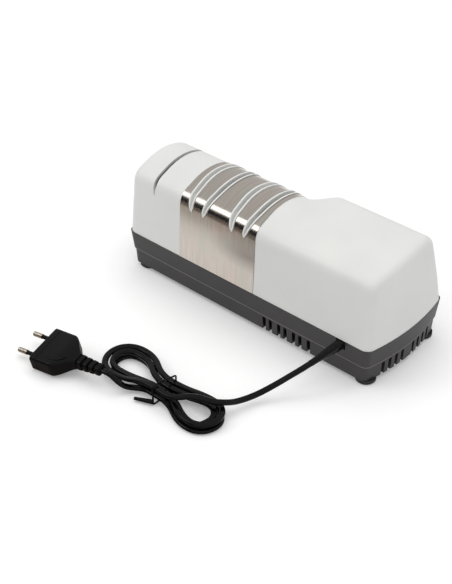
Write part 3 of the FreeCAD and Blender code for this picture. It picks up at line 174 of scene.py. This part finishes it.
# %% [markdown]
# Where the frame meets the tray, the frame's lower edge is a sharp corner that catches the light.
# It reads as one thin light line round the whole base. A chamfer would do the same at a larger
# size, but at half a millimetre a painted highlight, a band of paler colour by height, is
# enough.

# %% The frame's lower edge, with a painted highlight
def painted_highlight_edge(source, name, low_mm, high_mm, colour):
    """A copy of a finish with a painted highlight: its colour turns paler below high_mm, and is fully so at
    low_mm.
    """
    material = source.copy()
    material.name = name
    tree = material.node_tree
    shader = tree.nodes["Principled BSDF"]
    under = shader.inputs["Base Color"].links[0].from_socket
    where = add(tree, "ShaderNodeSeparateXYZ", {"Vector": place(tree)})
    share = add(tree, "ShaderNodeMapRange", {"Value": where.outputs["Z"], "From Min": high_mm * MM,
                                             "From Max": low_mm * MM})
    mix = add(tree, "ShaderNodeMix", {"Factor": share.outputs["Result"]}, data_type="RGBA")
    tree.links.new(under, mix.inputs["A"])
    mix.inputs["B"].default_value = linear(colour)
    tree.links.new(mix.outputs["Result"], shader.inputs["Base Color"])
    return material


# The frame ends 18.0 mm up. The painted highlight line is fully pale up to 18.5 mm and gone at 18.9 mm.
frame_abs_painted_highlight = painted_highlight_edge(dark_abs, "Charcoal ABS with a painted highlight on its lower edge", 18.5, 18.9, "#6E686B")
print("made", frame_abs_painted_highlight.name)


# %% [markdown]
# The cover is stainless sheet, ground with a belt before it was bent, so fine straight scratches run
# up the wall and on over the top. A real scratch is about 0.15 mm wide and centimetres long. The noise
# keeps its size along the machine and is drawn out the other two ways, up the wall and over the top.
# Its grooves darken the colour a little and change the shine. High on the back wall, towards the
# motor, the sheet carries one cloudy grey patch, as handling leaves. It is a ball of shade drawn out
# along the machine: darkest at its middle and gone at its edge.

# %% Brushed stainless cover
SCRATCH_MM = 0.8
SCRATCH_ALONG = (1.0, 0.03, 0.03)
SCRATCH_SHADE = (0.84, 1.04)
STEEL_DRIFT_MM = 14.0
SMUDGE_AT_MM = (-3.0, 47.0, 66.0)
SMUDGE_REACH_MM = (40.0, 30.0, 14.0)
SMUDGE_SHADE = 0.55


def smudged(tree, colour):
    """A colour darkened round SMUDGE_AT_MM, fading to nothing at SMUDGE_REACH_MM along each axis."""
    stretch = [1 / (reach * MM) for reach in SMUDGE_REACH_MM]
    shift = [-spot / reach for spot, reach in zip(SMUDGE_AT_MM, SMUDGE_REACH_MM)]
    where = place(tree, stretch, shift)
    ball = add(tree, "ShaderNodeTexGradient", {"Vector": where}, gradient_type="SPHERICAL").outputs["Fac"]
    share = add(tree, "ShaderNodeMapRange", {"Value": ball, "To Min": 1.0, "To Max": SMUDGE_SHADE})
    return shaded(tree, colour, share.outputs["Result"])


def brushed(name, warm, cool, roughness):
    """Metal ground along Y and Z. Scratches 0.8 mm wide and 27 mm long change the shade, the roughness
    and the slope. They are wider than real ones, so that they show. A slow drift turns the tint."""
    material, tree, shader = surface(name, warm, roughness, metallic=1.0)
    scratch = noise(tree, place(tree, SCRATCH_ALONG), SCRATCH_MM, 3.0).outputs["Fac"]
    drift = noise(tree, place(tree), STEEL_DRIFT_MM).outputs["Fac"]
    tone = tint(tree, ramp(tree, drift, 0.0, 1.0), warm, cool)
    lined = shaded(tree, tone, ramp(tree, scratch, *SCRATCH_SHADE))
    tree.links.new(smudged(tree, lined), shader.inputs["Base Color"])
    vary(tree, shader, scratch, roughness, 0.04, 0.05)
    roughen(tree, shader, scratch, 0.012)
    return material


brushed_stainless = brushed("Brushed stainless steel", "#CFC3BB", "#C8C5BB", 0.2)
print("made", brushed_stainless.name, "with", len(brushed_stainless.node_tree.nodes), "nodes")


# %% [markdown]
# Inside are plain engineering surfaces: ground steel, sintered bronze, core iron with its stack of
# sheets, enamelled copper and bonded abrasive. Each gets the one mark that tells it apart.

# %% Metals and abrasives inside
WAVE_LONG = 0.314


def ground_metal(name, colour, roughness, grain_mm):
    """A metal with a short grain that changes its roughness and lifts it slightly."""
    material, tree, shader = surface(name, colour, roughness, metallic=1.0)
    grain = noise(tree, place(tree), grain_mm, 3.0).outputs["Fac"]
    vary(tree, shader, grain, roughness, 0.06, 0.08)
    roughen(tree, shader, grain, 0.01)
    return material


def banded(name, colour, other, roughness, pitch_mm, axis, metallic):
    """Even bands along an axis, as in a stack of sheets or the wires of a coil, one pitch apart. The
    wave turns 20 radians in each unit of length, so one pitch is 2 pi / 20 = 0.314 of its scale."""
    material, tree, shader = surface(name, colour, roughness, metallic=metallic)
    bands = add(tree, "ShaderNodeTexWave", {"Vector": place(tree), "Scale": WAVE_LONG / (pitch_mm * MM)},
                bands_direction=axis)
    # The bands' colour: on the core, the dark joints between sheets; on the coil, a painted highlight on each
    # wire's crown and painted shade between wires.
    tree.links.new(tint(tree, bands.outputs["Fac"], colour, other), shader.inputs["Base Color"])
    roughen(tree, shader, bands.outputs["Fac"], 0.12)
    return material


def gritty(name, colour, other, grit_mm):
    """Bonded abrasive: grains of one size standing in a darker bond."""
    material, tree, shader = surface(name, colour, 0.85)
    cells = add(tree, "ShaderNodeTexVoronoi", {"Vector": place(tree), "Scale": 1.0 / (grit_mm * MM)})
    tree.links.new(tint(tree, cells.outputs["Distance"], colour, other), shader.inputs["Base Color"])
    roughen(tree, shader, cells.outputs["Distance"], 0.08)
    return material


# Shaft, pins, springs, bearing cups and screws: grey steel with a fine, slightly dull grain.
ground_steel = ground_metal("Ground steel", "#B8B8B8", 0.3, 0.6)
# The bushes: pressed bronze powder, brown and open-grained, so it hardly shines.
sintered_bronze = ground_metal("Sintered bronze", "#A98454", 0.5, 0.3)
# The plug's pins: brass under nickel, a warm silver with broad soft highlights.
nickel_plate = ground_metal("Nickel plated brass", "#C9C0B0", 0.3, 4.0)
# The motor's core and rotor: thin iron sheets, whose edges show as dark lines.
core_sheets = banded("Laminated core iron", "#5B5B5F", "#37373A", 0.5, 0.5, "X", 1.0)
# The coil: copper wire in clear enamel, with a painted highlight on each wire's crown and painted
# shade between the wires.
copper_wire_painted_highlights = banded("Enamelled copper wire with painted highlights", "#B4602A", "#6E3513", 0.3, 0.5, "Y", 0.8)
# The conical discs: abrasive grains in a grey bond, rough enough to show no highlight.
diamond_grit = gritty("Bonded abrasive", "#8B8680", "#5E5A56", 0.25)
# The hand stage's wheels: sintered alumina, an even off-white with a very fine grit.
white_ceramic = gritty("White alumina ceramic", "#DAD7CF", "#C6C2B8", 0.2)
# The magnet that holds filings: fired ferrite, dark grey and matt.
ferrite = moulded("Sintered ferrite", "#2B2B2D", "#343437", 0.6)
print("materials so far", len(bpy.data.materials))


# %% [markdown]
# Every carried-over piece takes its finish by its slot in the record, so a piece and its finish can't
# drift apart. Some slots hold pieces of one kind only, so one table says it all.

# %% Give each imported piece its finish
FINISHES = {
    "white_plastic": white_abs,
    "brushed_steel": brushed_stainless,
    "dark_plastic": dark_abs,
    "soft_rubber": foot_rubber,
    "bright_steel": ground_steel,
    "bronze": sintered_bronze,
    "core_iron": core_sheets,
    "coil_wire": copper_wire_painted_highlights,
    "magnet_iron": ferrite,
    "abrasive_ceramic": white_ceramic,
    "abrasive_disc": diamond_grit,
    "black_plug": black_pvc_moulding,
    "nickel_pins": nickel_plate,
    "switch_black": switch_nylon,
    "inner_plastic": natural_nylon,
    "black_cord": black_pvc_moulding,
}
for part in frame["record"]["subparts"]:
    mesh = nodes[part["node"]].data
    mesh.materials.clear()
    mesh.materials.append(FINISHES[part["material_slot"]])
# The frame's finish carries the painted highlight along its lower edge.
nodes["base_frame"].data.materials[0] = frame_abs_painted_highlight


# %% [markdown]
# The lead is flat twin flex, 5 mm wide and 3.4 mm thick: two round cores side by side in one glossy
# black PVC jacket, with a shallow groove between them. It leaves the strain relief, drops to the
# surface, climbs onto the hank, goes seven times through the waist and comes out to the plug. It is one
# smooth spline. Where it lies free, its points are listed. Where it is wound, they come from
# the winding's own rule.

# %% The lead's facts, in millimetres
LEAD_WIDE = 5.0
LEAD_THICK = 3.4
LEAD_TUBE = 4.6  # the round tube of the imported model, which the flat lead fits
HANK_MIDDLE = Vector((-15.7, 152.0, 0))
TURN_STEP = 6.0
LOBE_HALF = 19.0
DRAWN_IN = 8.5
SLOT_SIDE_REACH = 44.0
MOTOR_SIDE_REACH = 37.5
SLOT_SIDE_SHIFT = -4.5
MOTOR_SIDE_SHIFT = 1.5
HANK_TURNS = 3
LAYER = 5.2
WAIST_LIFT = 1.8
TURNS_DOWN = 1.75
LOW_LAYER = LEAD_TUBE / 2 + 0.1
STUB = LEAD_TUBE * 1.2

# %% [markdown]
# The hank is three turns of a flat loop with two lobes, drawn in at the waist where the tie holds it.
# Hand-placed points would kink or run into each other, so a rule winds it. On the upper layer each
# turn lies one step inside the last. After 1.75 turns the lead drops to the lower layer and winds out
# again. The waist is lifted a little, because there the strands lie closest.

# %% The winding's rule
KNOTS_A_TURN = 8


def hank_knots():
    """Eight places a turn with the heading at each: the loops spiral in by one step a turn, then out."""
    right, left = SLOT_SIDE_REACH, -MOTOR_SIDE_REACH
    up, down = SLOT_SIDE_SHIFT, MOTOR_SIDE_SHIFT
    start = Vector((0, LOBE_HALF - DRAWN_IN, LOW_LAYER + 2 * LAYER + WAIST_LIFT))
    knots = [(HANK_MIDDLE + start, Vector((1, 0, 0)))]
    for i in range(1, KNOTS_A_TURN * HANK_TURNS + 1):
        t = i / KNOTS_A_TURN
        out = LOBE_HALF - TURN_STEP * (TURNS_DOWN - abs(TURNS_DOWN - t))
        level = LOW_LAYER + LAYER if t < TURNS_DOWN else LOW_LAYER
        if abs(t - TURNS_DOWN) < 0.01:
            level = LOW_LAYER + LAYER / 2
        lifted = level + WAIST_LIFT
        around = [
            ((0, out - DRAWN_IN, lifted), (1, 0, 0)),
            ((right, up + out, level), (1, 0, 0)),
            ((right + out, up, level), (0, -1, 0)),
            ((right, up - out, level), (-1, 0, 0)),
            ((0, DRAWN_IN - out, lifted), (-1, 0, 0)),
            ((left, down - out, level), (-1, 0, 0)),
            ((left - out, down, level), (0, 1, 0)),
            ((left, down + out, level), (1, 0, 0)),
        ]
        spot, heading = around[i % KNOTS_A_TURN]
        knots.append((HANK_MIDDLE + Vector(spot), Vector(heading)))
    return knots


def winding_points(knots):
    """Two new points for each step between knots: d along the first heading and d back from the
    second, with d such that the two lie 2d apart. With the step g and the headings a and b, that is
    2 (1 - a.b) d^2 + 2 g.(a + b) d = g.g. The spline then passes each knot along its own heading."""
    points = []
    for (start, along), (end, arrive) in zip(knots, knots[1:]):
        gap = end - start
        half = gap.dot(along + arrive)
        square = 2.0 * (1.0 - along.dot(arrive))
        if square < 1e-9:
            reach = gap.dot(gap) / (4.0 * gap.dot(arrive))
        else:
            reach = (math.sqrt(half * half + square * gap.dot(gap)) - half) / square
        points += [start + along * reach, end - arrive * reach]
    return points


# %% [markdown]
# The exit direction is the strain relief's: turned 12 degrees from square and drooping 10 degrees.
# The plug lies beside the hank, turned a little, nose down and rolled. Its frame is set here too,
# because the lead has to arrive along its neck. Between relief and hank the lead hangs, touches down
# and climbs, so a few points are enough, and they stand where the photograph shows it.

# %% Where the lead leaves and arrives
RELIEF_LONG = 28.0
EXIT = Vector((-96.7, 47.7, 31.0))
EXIT_TURN, EXIT_DROOP = 12.0, 10.0
turn, droop = math.radians(EXIT_TURN), math.radians(EXIT_DROOP)
exit_way = Vector((math.sin(turn) * math.cos(droop), math.cos(turn) * math.cos(droop), -math.sin(droop)))
relief_end = EXIT + exit_way * RELIEF_LONG

NECK_END = Vector((27.9, 174.6, 14.7))
PLUG_YAW, PLUG_NOSE_DOWN, PLUG_ROLL = 6.8, 5.1, -11.0


def spin(axis, angle):
    """A turn about one axis as a 3 by 3 array."""
    a, b = [i for i in range(3) if i != axis]
    turned = np.eye(3)
    turned[a, a] = turned[b, b] = math.cos(angle)
    turned[a, b] = -math.sin(angle) if axis != 1 else math.sin(angle)
    turned[b, a] = -turned[a, b]
    return turned


plug_turn = (
    spin(2, math.radians(PLUG_YAW)) @ spin(1, math.radians(PLUG_NOSE_DOWN)) @ spin(0, math.radians(PLUG_ROLL))
)
neck_way = Vector(plug_turn[:, 0])

knots = hank_knots()
hank_start = knots[0][0] - Vector((STUB, 0, 0))
hank_end = knots[-1][0] + Vector((STUB, 0, 0))
FREE_ROUTE = [
    relief_end,
    relief_end + exit_way * 8.0,
    Vector((-84.6, 90.5, 20.4)),
    Vector((-77.8, 100.0, 13.6)),
    Vector((-69.8, 112.5, 6.9)),
    Vector((-65.4, 128.3, 8.2)),
    Vector((-63.1, 137.8, 12.0)),
    Vector((-56.8, 146.3, 14.6)),
    Vector((-45.2, 153.2, 18.2)),
    hank_start - Vector((11.0, 0, 0)),
    hank_start,
]
TAIL_ROUTE = [
    hank_end,
    hank_end + Vector((8.0, 0, 0)),
    Vector((5.9, 163.9, 3.8)),
    Vector((10.0, 169.8, 6.1)),
    Vector((13.7, 173.1, 11.4)),
    NECK_END - neck_way * 7.0,
    NECK_END,
]
lead_route = FREE_ROUTE + winding_points(knots) + TAIL_ROUTE
print("route of", len(lead_route), "points,", len(knots), "knots in the hank")


# %% Read the spline
def spline_line(points, steps):
    """The smooth line that a third-order spline draws from its points, as an array of places."""
    curve = bpy.data.curves.new("lead_route", "CURVE")
    curve.dimensions = "3D"
    spline = curve.splines.new("NURBS")
    spline.points.add(len(points) - 1)
    spline.points.foreach_set("co", np.array([[*(p * MM), 1.0] for p in points]).ravel())
    spline.order_u = 3
    spline.use_endpoint_u = True
    spline.resolution_u = steps
    holder = bpy.data.objects.new("lead_route", curve)
    mesh = bpy.data.meshes.new_from_object(holder)
    line = np.empty(3 * len(mesh.vertices))
    mesh.vertices.foreach_get("co", line)
    bpy.data.objects.remove(holder)
    bpy.data.curves.remove(curve)
    bpy.data.meshes.remove(mesh)
    return line.reshape(-1, 3)


def even(line, step):
    """The same line with its places an even step apart, by length along it."""
    along = np.concatenate([[0], np.cumsum(np.linalg.norm(np.diff(line, axis=0), axis=1))])
    wanted = np.linspace(0, along[-1], int(along[-1] / step) + 1)
    return np.stack([np.interp(wanted, along, line[:, i]) for i in range(3)], axis=1), along[-1]


SPLINE_STEPS = 12
PLACE_STEP = 1.3
lead_line, lead_length = even(spline_line(lead_route, SPLINE_STEPS), PLACE_STEP * MM)
print("lead", round(lead_length, 4), "m in", len(lead_line), "places")


# %% [markdown]
# A surface here is a grid: rings along one way, points round the other. One function makes the mesh
# from such a grid, closes its ends and shades it smooth.

# %% Grid surfaces
def grid_mesh(name, rings, sharp_deg=40.0):
    """A closed skin from rings x points x 3 in metres: neighbours share a face, and end rings are capped."""
    count, around = rings.shape[:2]
    index = np.arange(count * around).reshape(count, around)
    ahead = np.roll(index, -1, axis=1)
    quads = np.stack([index[:-1], ahead[:-1], ahead[1:], index[1:]], axis=-1).reshape(-1, 4)
    caps = [index[0][::-1].tolist(), index[-1].tolist()]
    mesh = bpy.data.meshes.new(name)
    mesh.from_pydata(rings.reshape(-1, 3).tolist(), [], quads.tolist() + caps)
    mesh.update()
    piece = bpy.data.objects.new(name, mesh)
    bpy.context.scene.collection.objects.link(piece)
    mesh.shade_smooth()
    mesh.set_sharp_from_angle(angle=math.radians(sharp_deg))
    return piece


def carried(line, section, turns):
    """A section carried along a line. Its first axis lies level and square to the line, and its second
    square to both; then both turn about the line by an angle a: first' = first cos a + second sin a."""
    ahead = np.gradient(line, axis=0)
    ahead /= np.linalg.norm(ahead, axis=1, keepdims=True)
    across = np.cross(ahead, [0.0, 0.0, 1.0])
    across /= np.linalg.norm(across, axis=1, keepdims=True)
    above = np.cross(across, ahead)
    c, s = np.cos(turns)[:, None], np.sin(turns)[:, None]
    first, second = across * c + above * s, above * c - across * s
    return line[:, None] + section[None, :, :1] * first[:, None] + section[None, :, 1:] * second[:, None]


def twin_section(wide, thick, points):
    """Two circles of the jacket's thickness, side by side. They cross where cos(angle) = -off / radius,
    which leaves the groove, so each keeps only the arc outside that angle."""
    radius = thick / 2
    off = wide / 2 - radius
    meet = math.acos(-off / radius)
    angles = np.linspace(-meet, meet, points)[:-1]
    lobe = np.stack([off + radius * np.cos(angles), radius * np.sin(angles)], axis=1)
    return np.concatenate([lobe, -lobe])


# %% [markdown]
# The jacket is soft PVC with a calendered gloss. It is nearly black, and the thin bright lines along
# it come from its shape: each core's crown catches the light, and the groove stays dark. A flat lead
# never lies quite flat, so it rolls by up to 14 degrees to and fro, and not at all at its two ends.

# %% Build the lead
EASE = 0.05
ROLL_MOST = math.radians(14)
ROLL_WAVE = 0.043
JACKET_SHINE = 0.2
glossy_pvc, tree, shader = surface("Glossy black PVC jacket", "#08080A", 0.2)
shader.inputs["Specular IOR Level"].default_value = JACKET_SHINE
jacket = noise(tree, place(tree), 6.0, 3.0).outputs["Fac"]
tree.links.new(ramp(tree, jacket, 0.12, 0.2), shader.inputs["Roughness"])
roughen(tree, shader, noise(tree, place(tree), 1.5).outputs["Fac"], 0.02)

far = np.linspace(0, lead_length, len(lead_line))
eased = np.clip(far / EASE, 0, 1) * np.clip((lead_length - far) / EASE, 0, 1)
roll_of_lead = ROLL_MOST * np.sin(far / ROLL_WAVE) * eased
section = twin_section(LEAD_WIDE * MM, LEAD_THICK * MM, 10)
mains_lead = grid_mesh("mains_lead", carried(lead_line, section, roll_of_lead), 60.0)
mains_lead.data.materials.append(glossy_pvc)
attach(mains_lead, "root")
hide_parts("cord_stretch", "cord_hank", "cord_tail")
print("lead", len(mains_lead.data.polygons), "faces")


# %% [markdown]
# The plug is one moulding. Its body is a flat rounded block that narrows in a shoulder to a neck, and
# the neck is cut into ribs so that it bends without kinking. It could be joined from a block, a wedge
# and some rings, but the seams would show. Instead each ring of the grid is a rounded rectangle whose
# half-sizes change along the plug, so the whole piece is one closed skin, as the mould leaves it.

# %% Build the plug
NECK_LONG = 24.0
NOSE = 58.0
PLUG_HALF_WIDE = 17.65
PLUG_HALF_THICK = 6.85
RIB_STEP = 5.5
RIB_DEEP = 0.34
RIBS_END = 21.5
NECK_HALVES = (4.3, 3.7)
NECK_SPREAD = 0.05
SHOULDER_LONG = 15
NOSE_EDGE = 0.6
GROOVE_BACK = 6.5
GROOVE_DEEP = 0.35
PLUG_CORNER = 2.6
PLUG_POINTS = 48


def smooth(x, start, end):
    """0 before start and 1 after end, with no corner between: 3t squared minus 2t cubed."""
    t = np.clip((x - start) / (end - start), 0, 1)
    return t * t * (3 - 2 * t)


def plug_halves(x):
    """Half width and half thickness along the plug: ribs, then the shoulder, the body and its nose.
    Every half is neck * rib * (1 - swell) + body * swell, less a rounded nose edge and the fine
    groove across the body, a bell curve, where the pins' carrier meets the moulding."""
    valley = smooth(np.abs((x % RIB_STEP) - RIB_STEP / 2), 1.5, 2.1)
    rib = 1 - RIB_DEEP * valley * (1 - smooth(x, RIBS_END, RIBS_END + 1.5))
    swell = smooth(x, NECK_LONG - 2, NECK_LONG + SHOULDER_LONG)
    wide = (NECK_HALVES[0] + NECK_SPREAD * x) * rib * (1 - swell) + PLUG_HALF_WIDE * swell
    thick = (NECK_HALVES[1] + NECK_SPREAD * x) * rib * (1 - swell) + PLUG_HALF_THICK * swell
    groove = GROOVE_DEEP * np.exp(-((x - NOSE + GROOVE_BACK) / GROOVE_DEEP) ** 2)
    edge = NOSE_EDGE * smooth(x, NOSE - 0.8, NOSE) + groove
    return wide - edge, thick - edge


def rounded(halves, corner, points):
    """A rounded rectangle for every pair of halves: a circle of corner radius on a smaller rectangle."""
    angle = (np.arange(points) + 0.5) * 2 * math.pi / points
    flat = np.stack([np.sign(np.cos(angle)), np.sign(np.sin(angle))], axis=-1)
    arc = np.stack([np.cos(angle), np.sin(angle)], axis=-1)
    corner = np.minimum(corner, 0.9 * halves.min(axis=1))[:, None, None]
    return flat * (halves[:, None] - corner) + arc * corner


# Rings stand close together over the ribs and the nose, where the shape changes fast.
stations = np.unique(np.concatenate([
    np.linspace(0, 26, 131),
    np.linspace(26, NOSE - 8, 30),
    np.linspace(NOSE - 8, NOSE, 60),
]))
rings = rounded(np.stack(plug_halves(stations), axis=1), PLUG_CORNER, PLUG_POINTS)
local = np.concatenate([np.broadcast_to(stations[:, None, None], rings.shape[:2] + (1,)), rings], axis=2)
plug = grid_mesh("plug_moulding", (local @ plug_turn.T + np.array(NECK_END)) * MM, 35.0)
plug.data.materials.append(black_pvc_moulding)
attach(plug, "root")
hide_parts("plug_body")
print("plug", len(stations), "rings,", len(plug.data.polygons), "faces")

# %% [markdown]
# On the plug's flat face a low curved lip marks the finger grip. It is a half-round bead bent to an
# arc, and it stands half a millimetre proud, so that its crown catches one thin line of light. Its
# two ends sink into the face.

# %% Build the grip's bead
BEAD = 0.7
BEAD_PLACES = 60
BEAD_MIDDLE = (39.5, 1.0)
BEAD_REACH = (9.775, 10.5)
BEAD_SUNK = 0.15
BEAD_HALF_TURN = math.radians(68)
bow_turn = np.linspace(-BEAD_HALF_TURN, BEAD_HALF_TURN, BEAD_PLACES)
bead_line = np.stack([
    BEAD_MIDDLE[0] + BEAD_REACH[0] * np.sin(bow_turn),
    BEAD_MIDDLE[1] + BEAD_REACH[1] * np.cos(bow_turn),
    np.full(BEAD_PLACES, PLUG_HALF_THICK - BEAD_SUNK),
], axis=1)
ring = np.linspace(0, 2 * math.pi, 13)[:-1]
fade = np.sin(np.linspace(0.15, math.pi - 0.15, BEAD_PLACES))[:, None, None] ** 0.5
bead_way = np.gradient(bead_line, axis=0)
bead_way /= np.linalg.norm(bead_way, axis=1, keepdims=True)
bead_side = np.cross(bead_way, [0.0, 0.0, 1.0])
bead_rings = bead_line[:, None] + BEAD * fade * (
    np.cos(ring)[None, :, None] * bead_side[:, None] + np.sin(ring)[None, :, None] * np.array([0.0, 0.0, 1.0])
)
bead = grid_mesh("plug_grip_bead", (bead_rings @ plug_turn.T + np.array(NECK_END)) * MM)
bead.data.materials.append(black_pvc_moulding)
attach(bead, "root")
print("bead", len(bead.data.polygons), "faces")

# %% [markdown]
# The strain relief is a soft flat sleeve moulded on the lead. It fills the notch where it leaves the
# case and thins until it's flush with the lead, so the lead bends in a long easy curve. A cone would
# fit a round cord. This lead is flat, so the sleeve is a rounded rectangle that shrinks to match it.

# %% Build the strain relief
INSIDE = 8.0
OVER_LEAD = 1.0
RELIEF_HALVES = (3.7, 3.2)
RELIEF_THINS_BY = (1.1, 1.4)
RELIEF_CORNER = 1.7
RELIEF_POINTS = 32
relief_far = np.linspace(-INSIDE, RELIEF_LONG + OVER_LEAD, 60)
relief_share = smooth(relief_far, -2.0, RELIEF_LONG + OVER_LEAD)
relief_halves = np.array(RELIEF_HALVES) - relief_share[:, None] * np.array(RELIEF_THINS_BY)
relief_line = np.array(EXIT) + relief_far[:, None] * np.array(exit_way)
relief_rings = rounded(relief_halves, RELIEF_CORNER, RELIEF_POINTS)
side_way = np.cross(np.array(exit_way), [0.0, 0.0, 1.0])
side_way /= np.linalg.norm(side_way)
up_way = np.cross(side_way, np.array(exit_way))
relief_skin = relief_line[:, None] + relief_rings[..., :1] * side_way + relief_rings[..., 1:] * up_way
relief = grid_mesh("strain_relief_sleeve", relief_skin * MM, 50.0)
relief.data.materials.append(glossy_pvc)
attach(relief, "root")
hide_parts("strain_relief")
print("strain relief", len(relief.data.polygons), "faces")


# %% [markdown]
# The set is a pale floor under soft studio light. Steel shows what stands round it, so the set is
# arranged for the cover. A soft lamp behind the machine gives the white band on the shoulder. A black
# card below that lamp gives the dark band under it, and a brown and a sand card flat on the floor give
# the wall its warm, darker upper part. Only reflections see the cards. The floor is a little brighter
# to the camera and to reflections than to the other rays, so that it reads as white and keeps its
# soft shadow.

# %% Floor and cards
SEEN_BOOST = 0.2
floor_paint, tree, shader = surface("Pale floor", "#F4F4F4", 0.9)
paths = add(tree, "ShaderNodeLightPath")
seen = paths.outputs["Is Camera Ray"]
for ray in ("Is Glossy Ray", "Is Transmission Ray"):
    seen = add(tree, "ShaderNodeMath", {0: seen, 1: paths.outputs[ray]}, operation="MAXIMUM").outputs["Value"]
boost = add(tree, "ShaderNodeMath", {0: seen, 1: SEEN_BOOST}, operation="MULTIPLY")
shader.inputs["Emission Color"].default_value = (1.0, 1.0, 1.0, 1.0)
tree.links.new(boost.outputs["Value"], shader.inputs["Emission Strength"])


def sheet(name, corners, paint):
    """A flat sheet through four corners, in metres, that belongs to the set."""
    mesh = bpy.data.meshes.new(name)
    mesh.from_pydata(corners, [], [(0, 1, 2, 3)])
    mesh.materials.append(paint)
    piece = bpy.data.objects.new(name, mesh)
    bpy.context.scene.collection.objects.link(piece)
    return piece


def flat(x, y, z):
    """The corners of a level sheet over a range of x and a range of y."""
    return [(x[0], y[0], z), (x[1], y[0], z), (x[1], y[1], z), (x[0], y[1], z)]


def upright(x, y, z):
    """The corners of an upright sheet over a range of x and a range of z."""
    return [(x[0], y, z[0]), (x[1], y, z[0]), (x[1], y, z[1]), (x[0], y, z[1])]


def card(name, corners, look, colour):
    """A matt card that only reflections see."""
    piece = sheet(name, corners, surface(look, colour, 0.9)[0])
    piece.visible_camera = piece.visible_diffuse = piece.visible_shadow = piece.visible_transmission = False


FAR = 4.0
CARD_FROM, CARD_TO, CARD_LOW, CARD_TOP = 0.0, 1.6, 0.01, 0.6
SAND_FROM, BROWN_FROM, BLACK_AT = 0.145, 0.24, 0.95
LEVEL_FROM, OVER_FLOOR = -0.2, 0.001
sheet("floor", flat((-FAR, FAR), (-FAR, FAR), 0), floor_paint)
card("black_card", upright((CARD_FROM, CARD_TO), BLACK_AT, (CARD_LOW, CARD_TOP)), "Black card", "#0A0A0A")
card("near_card", flat((LEVEL_FROM, CARD_TO), (SAND_FROM, BROWN_FROM), OVER_FLOOR), "Sand card", "#A79C92")
card("far_card", flat((LEVEL_FROM, CARD_TO), (BROWN_FROM, BLACK_AT), OVER_FLOOR), "Brown card", "#6B5F57")
print("floor", 2 * FAR, "m wide, cards from", SAND_FROM, "to", BLACK_AT, "m behind the middle")

# %% World and lamps
WORLD_LIGHT = 0.62
world = bpy.data.worlds.new("studio")
bpy.context.scene.world = world
world.use_nodes = True
world.node_tree.nodes["Background"].inputs["Color"].default_value = (1.0, 1.0, 1.0, 1.0)
world.node_tree.nodes["Background"].inputs["Strength"].default_value = WORLD_LIGHT


def lamp(name, spot, aim, size, power):
    """A square soft lamp in metres, turned towards a point."""
    data = bpy.data.lights.new(name, "AREA")
    data.size = size
    data.energy = power
    light = bpy.data.objects.new(name, data)
    light.location = spot
    light.rotation_euler = (Vector(aim) - Vector(spot)).to_track_quat("-Z", "Y").to_euler()
    bpy.context.scene.collection.objects.link(light)
    return light


overhead = lamp("overhead", (0.0, -0.1, 1.5), (0, 0.05, 0), 1.4, 8.2)
overhead.visible_glossy = False
lamp("back_softbox", (1.0, 1.05, 1.3), (0, 0.05, 0.05), 0.7, 3.8)
print("lamps", len(bpy.data.lights), "and world at", WORLD_LIGHT)

# %% [markdown]
# The camera stands where the photograph was taken from: above the motor end, behind the machine,
# about 1.05 m away. Its place and lens were worked out from the machine's own straight edges.

# %% Camera
CAMERA_SPOT = Vector((-0.5314, 0.6611, 0.624))
CAMERA_WAY = Vector((0.5389, -0.6017, -0.5895))
LENS_MM = 78.8
camera = bpy.data.objects.new("camera", bpy.data.cameras.new("camera"))
camera.data.lens = LENS_MM
camera.data.sensor_width = 36.0
camera.location = CAMERA_SPOT
camera.rotation_euler = CAMERA_WAY.to_track_quat("-Z", "Y").to_euler()
bpy.context.scene.collection.objects.link(camera)
bpy.context.scene.camera = camera
bpy.context.scene.view_settings.view_transform = "Standard"
print("camera", round(CAMERA_SPOT.length, 3), "m from the origin")
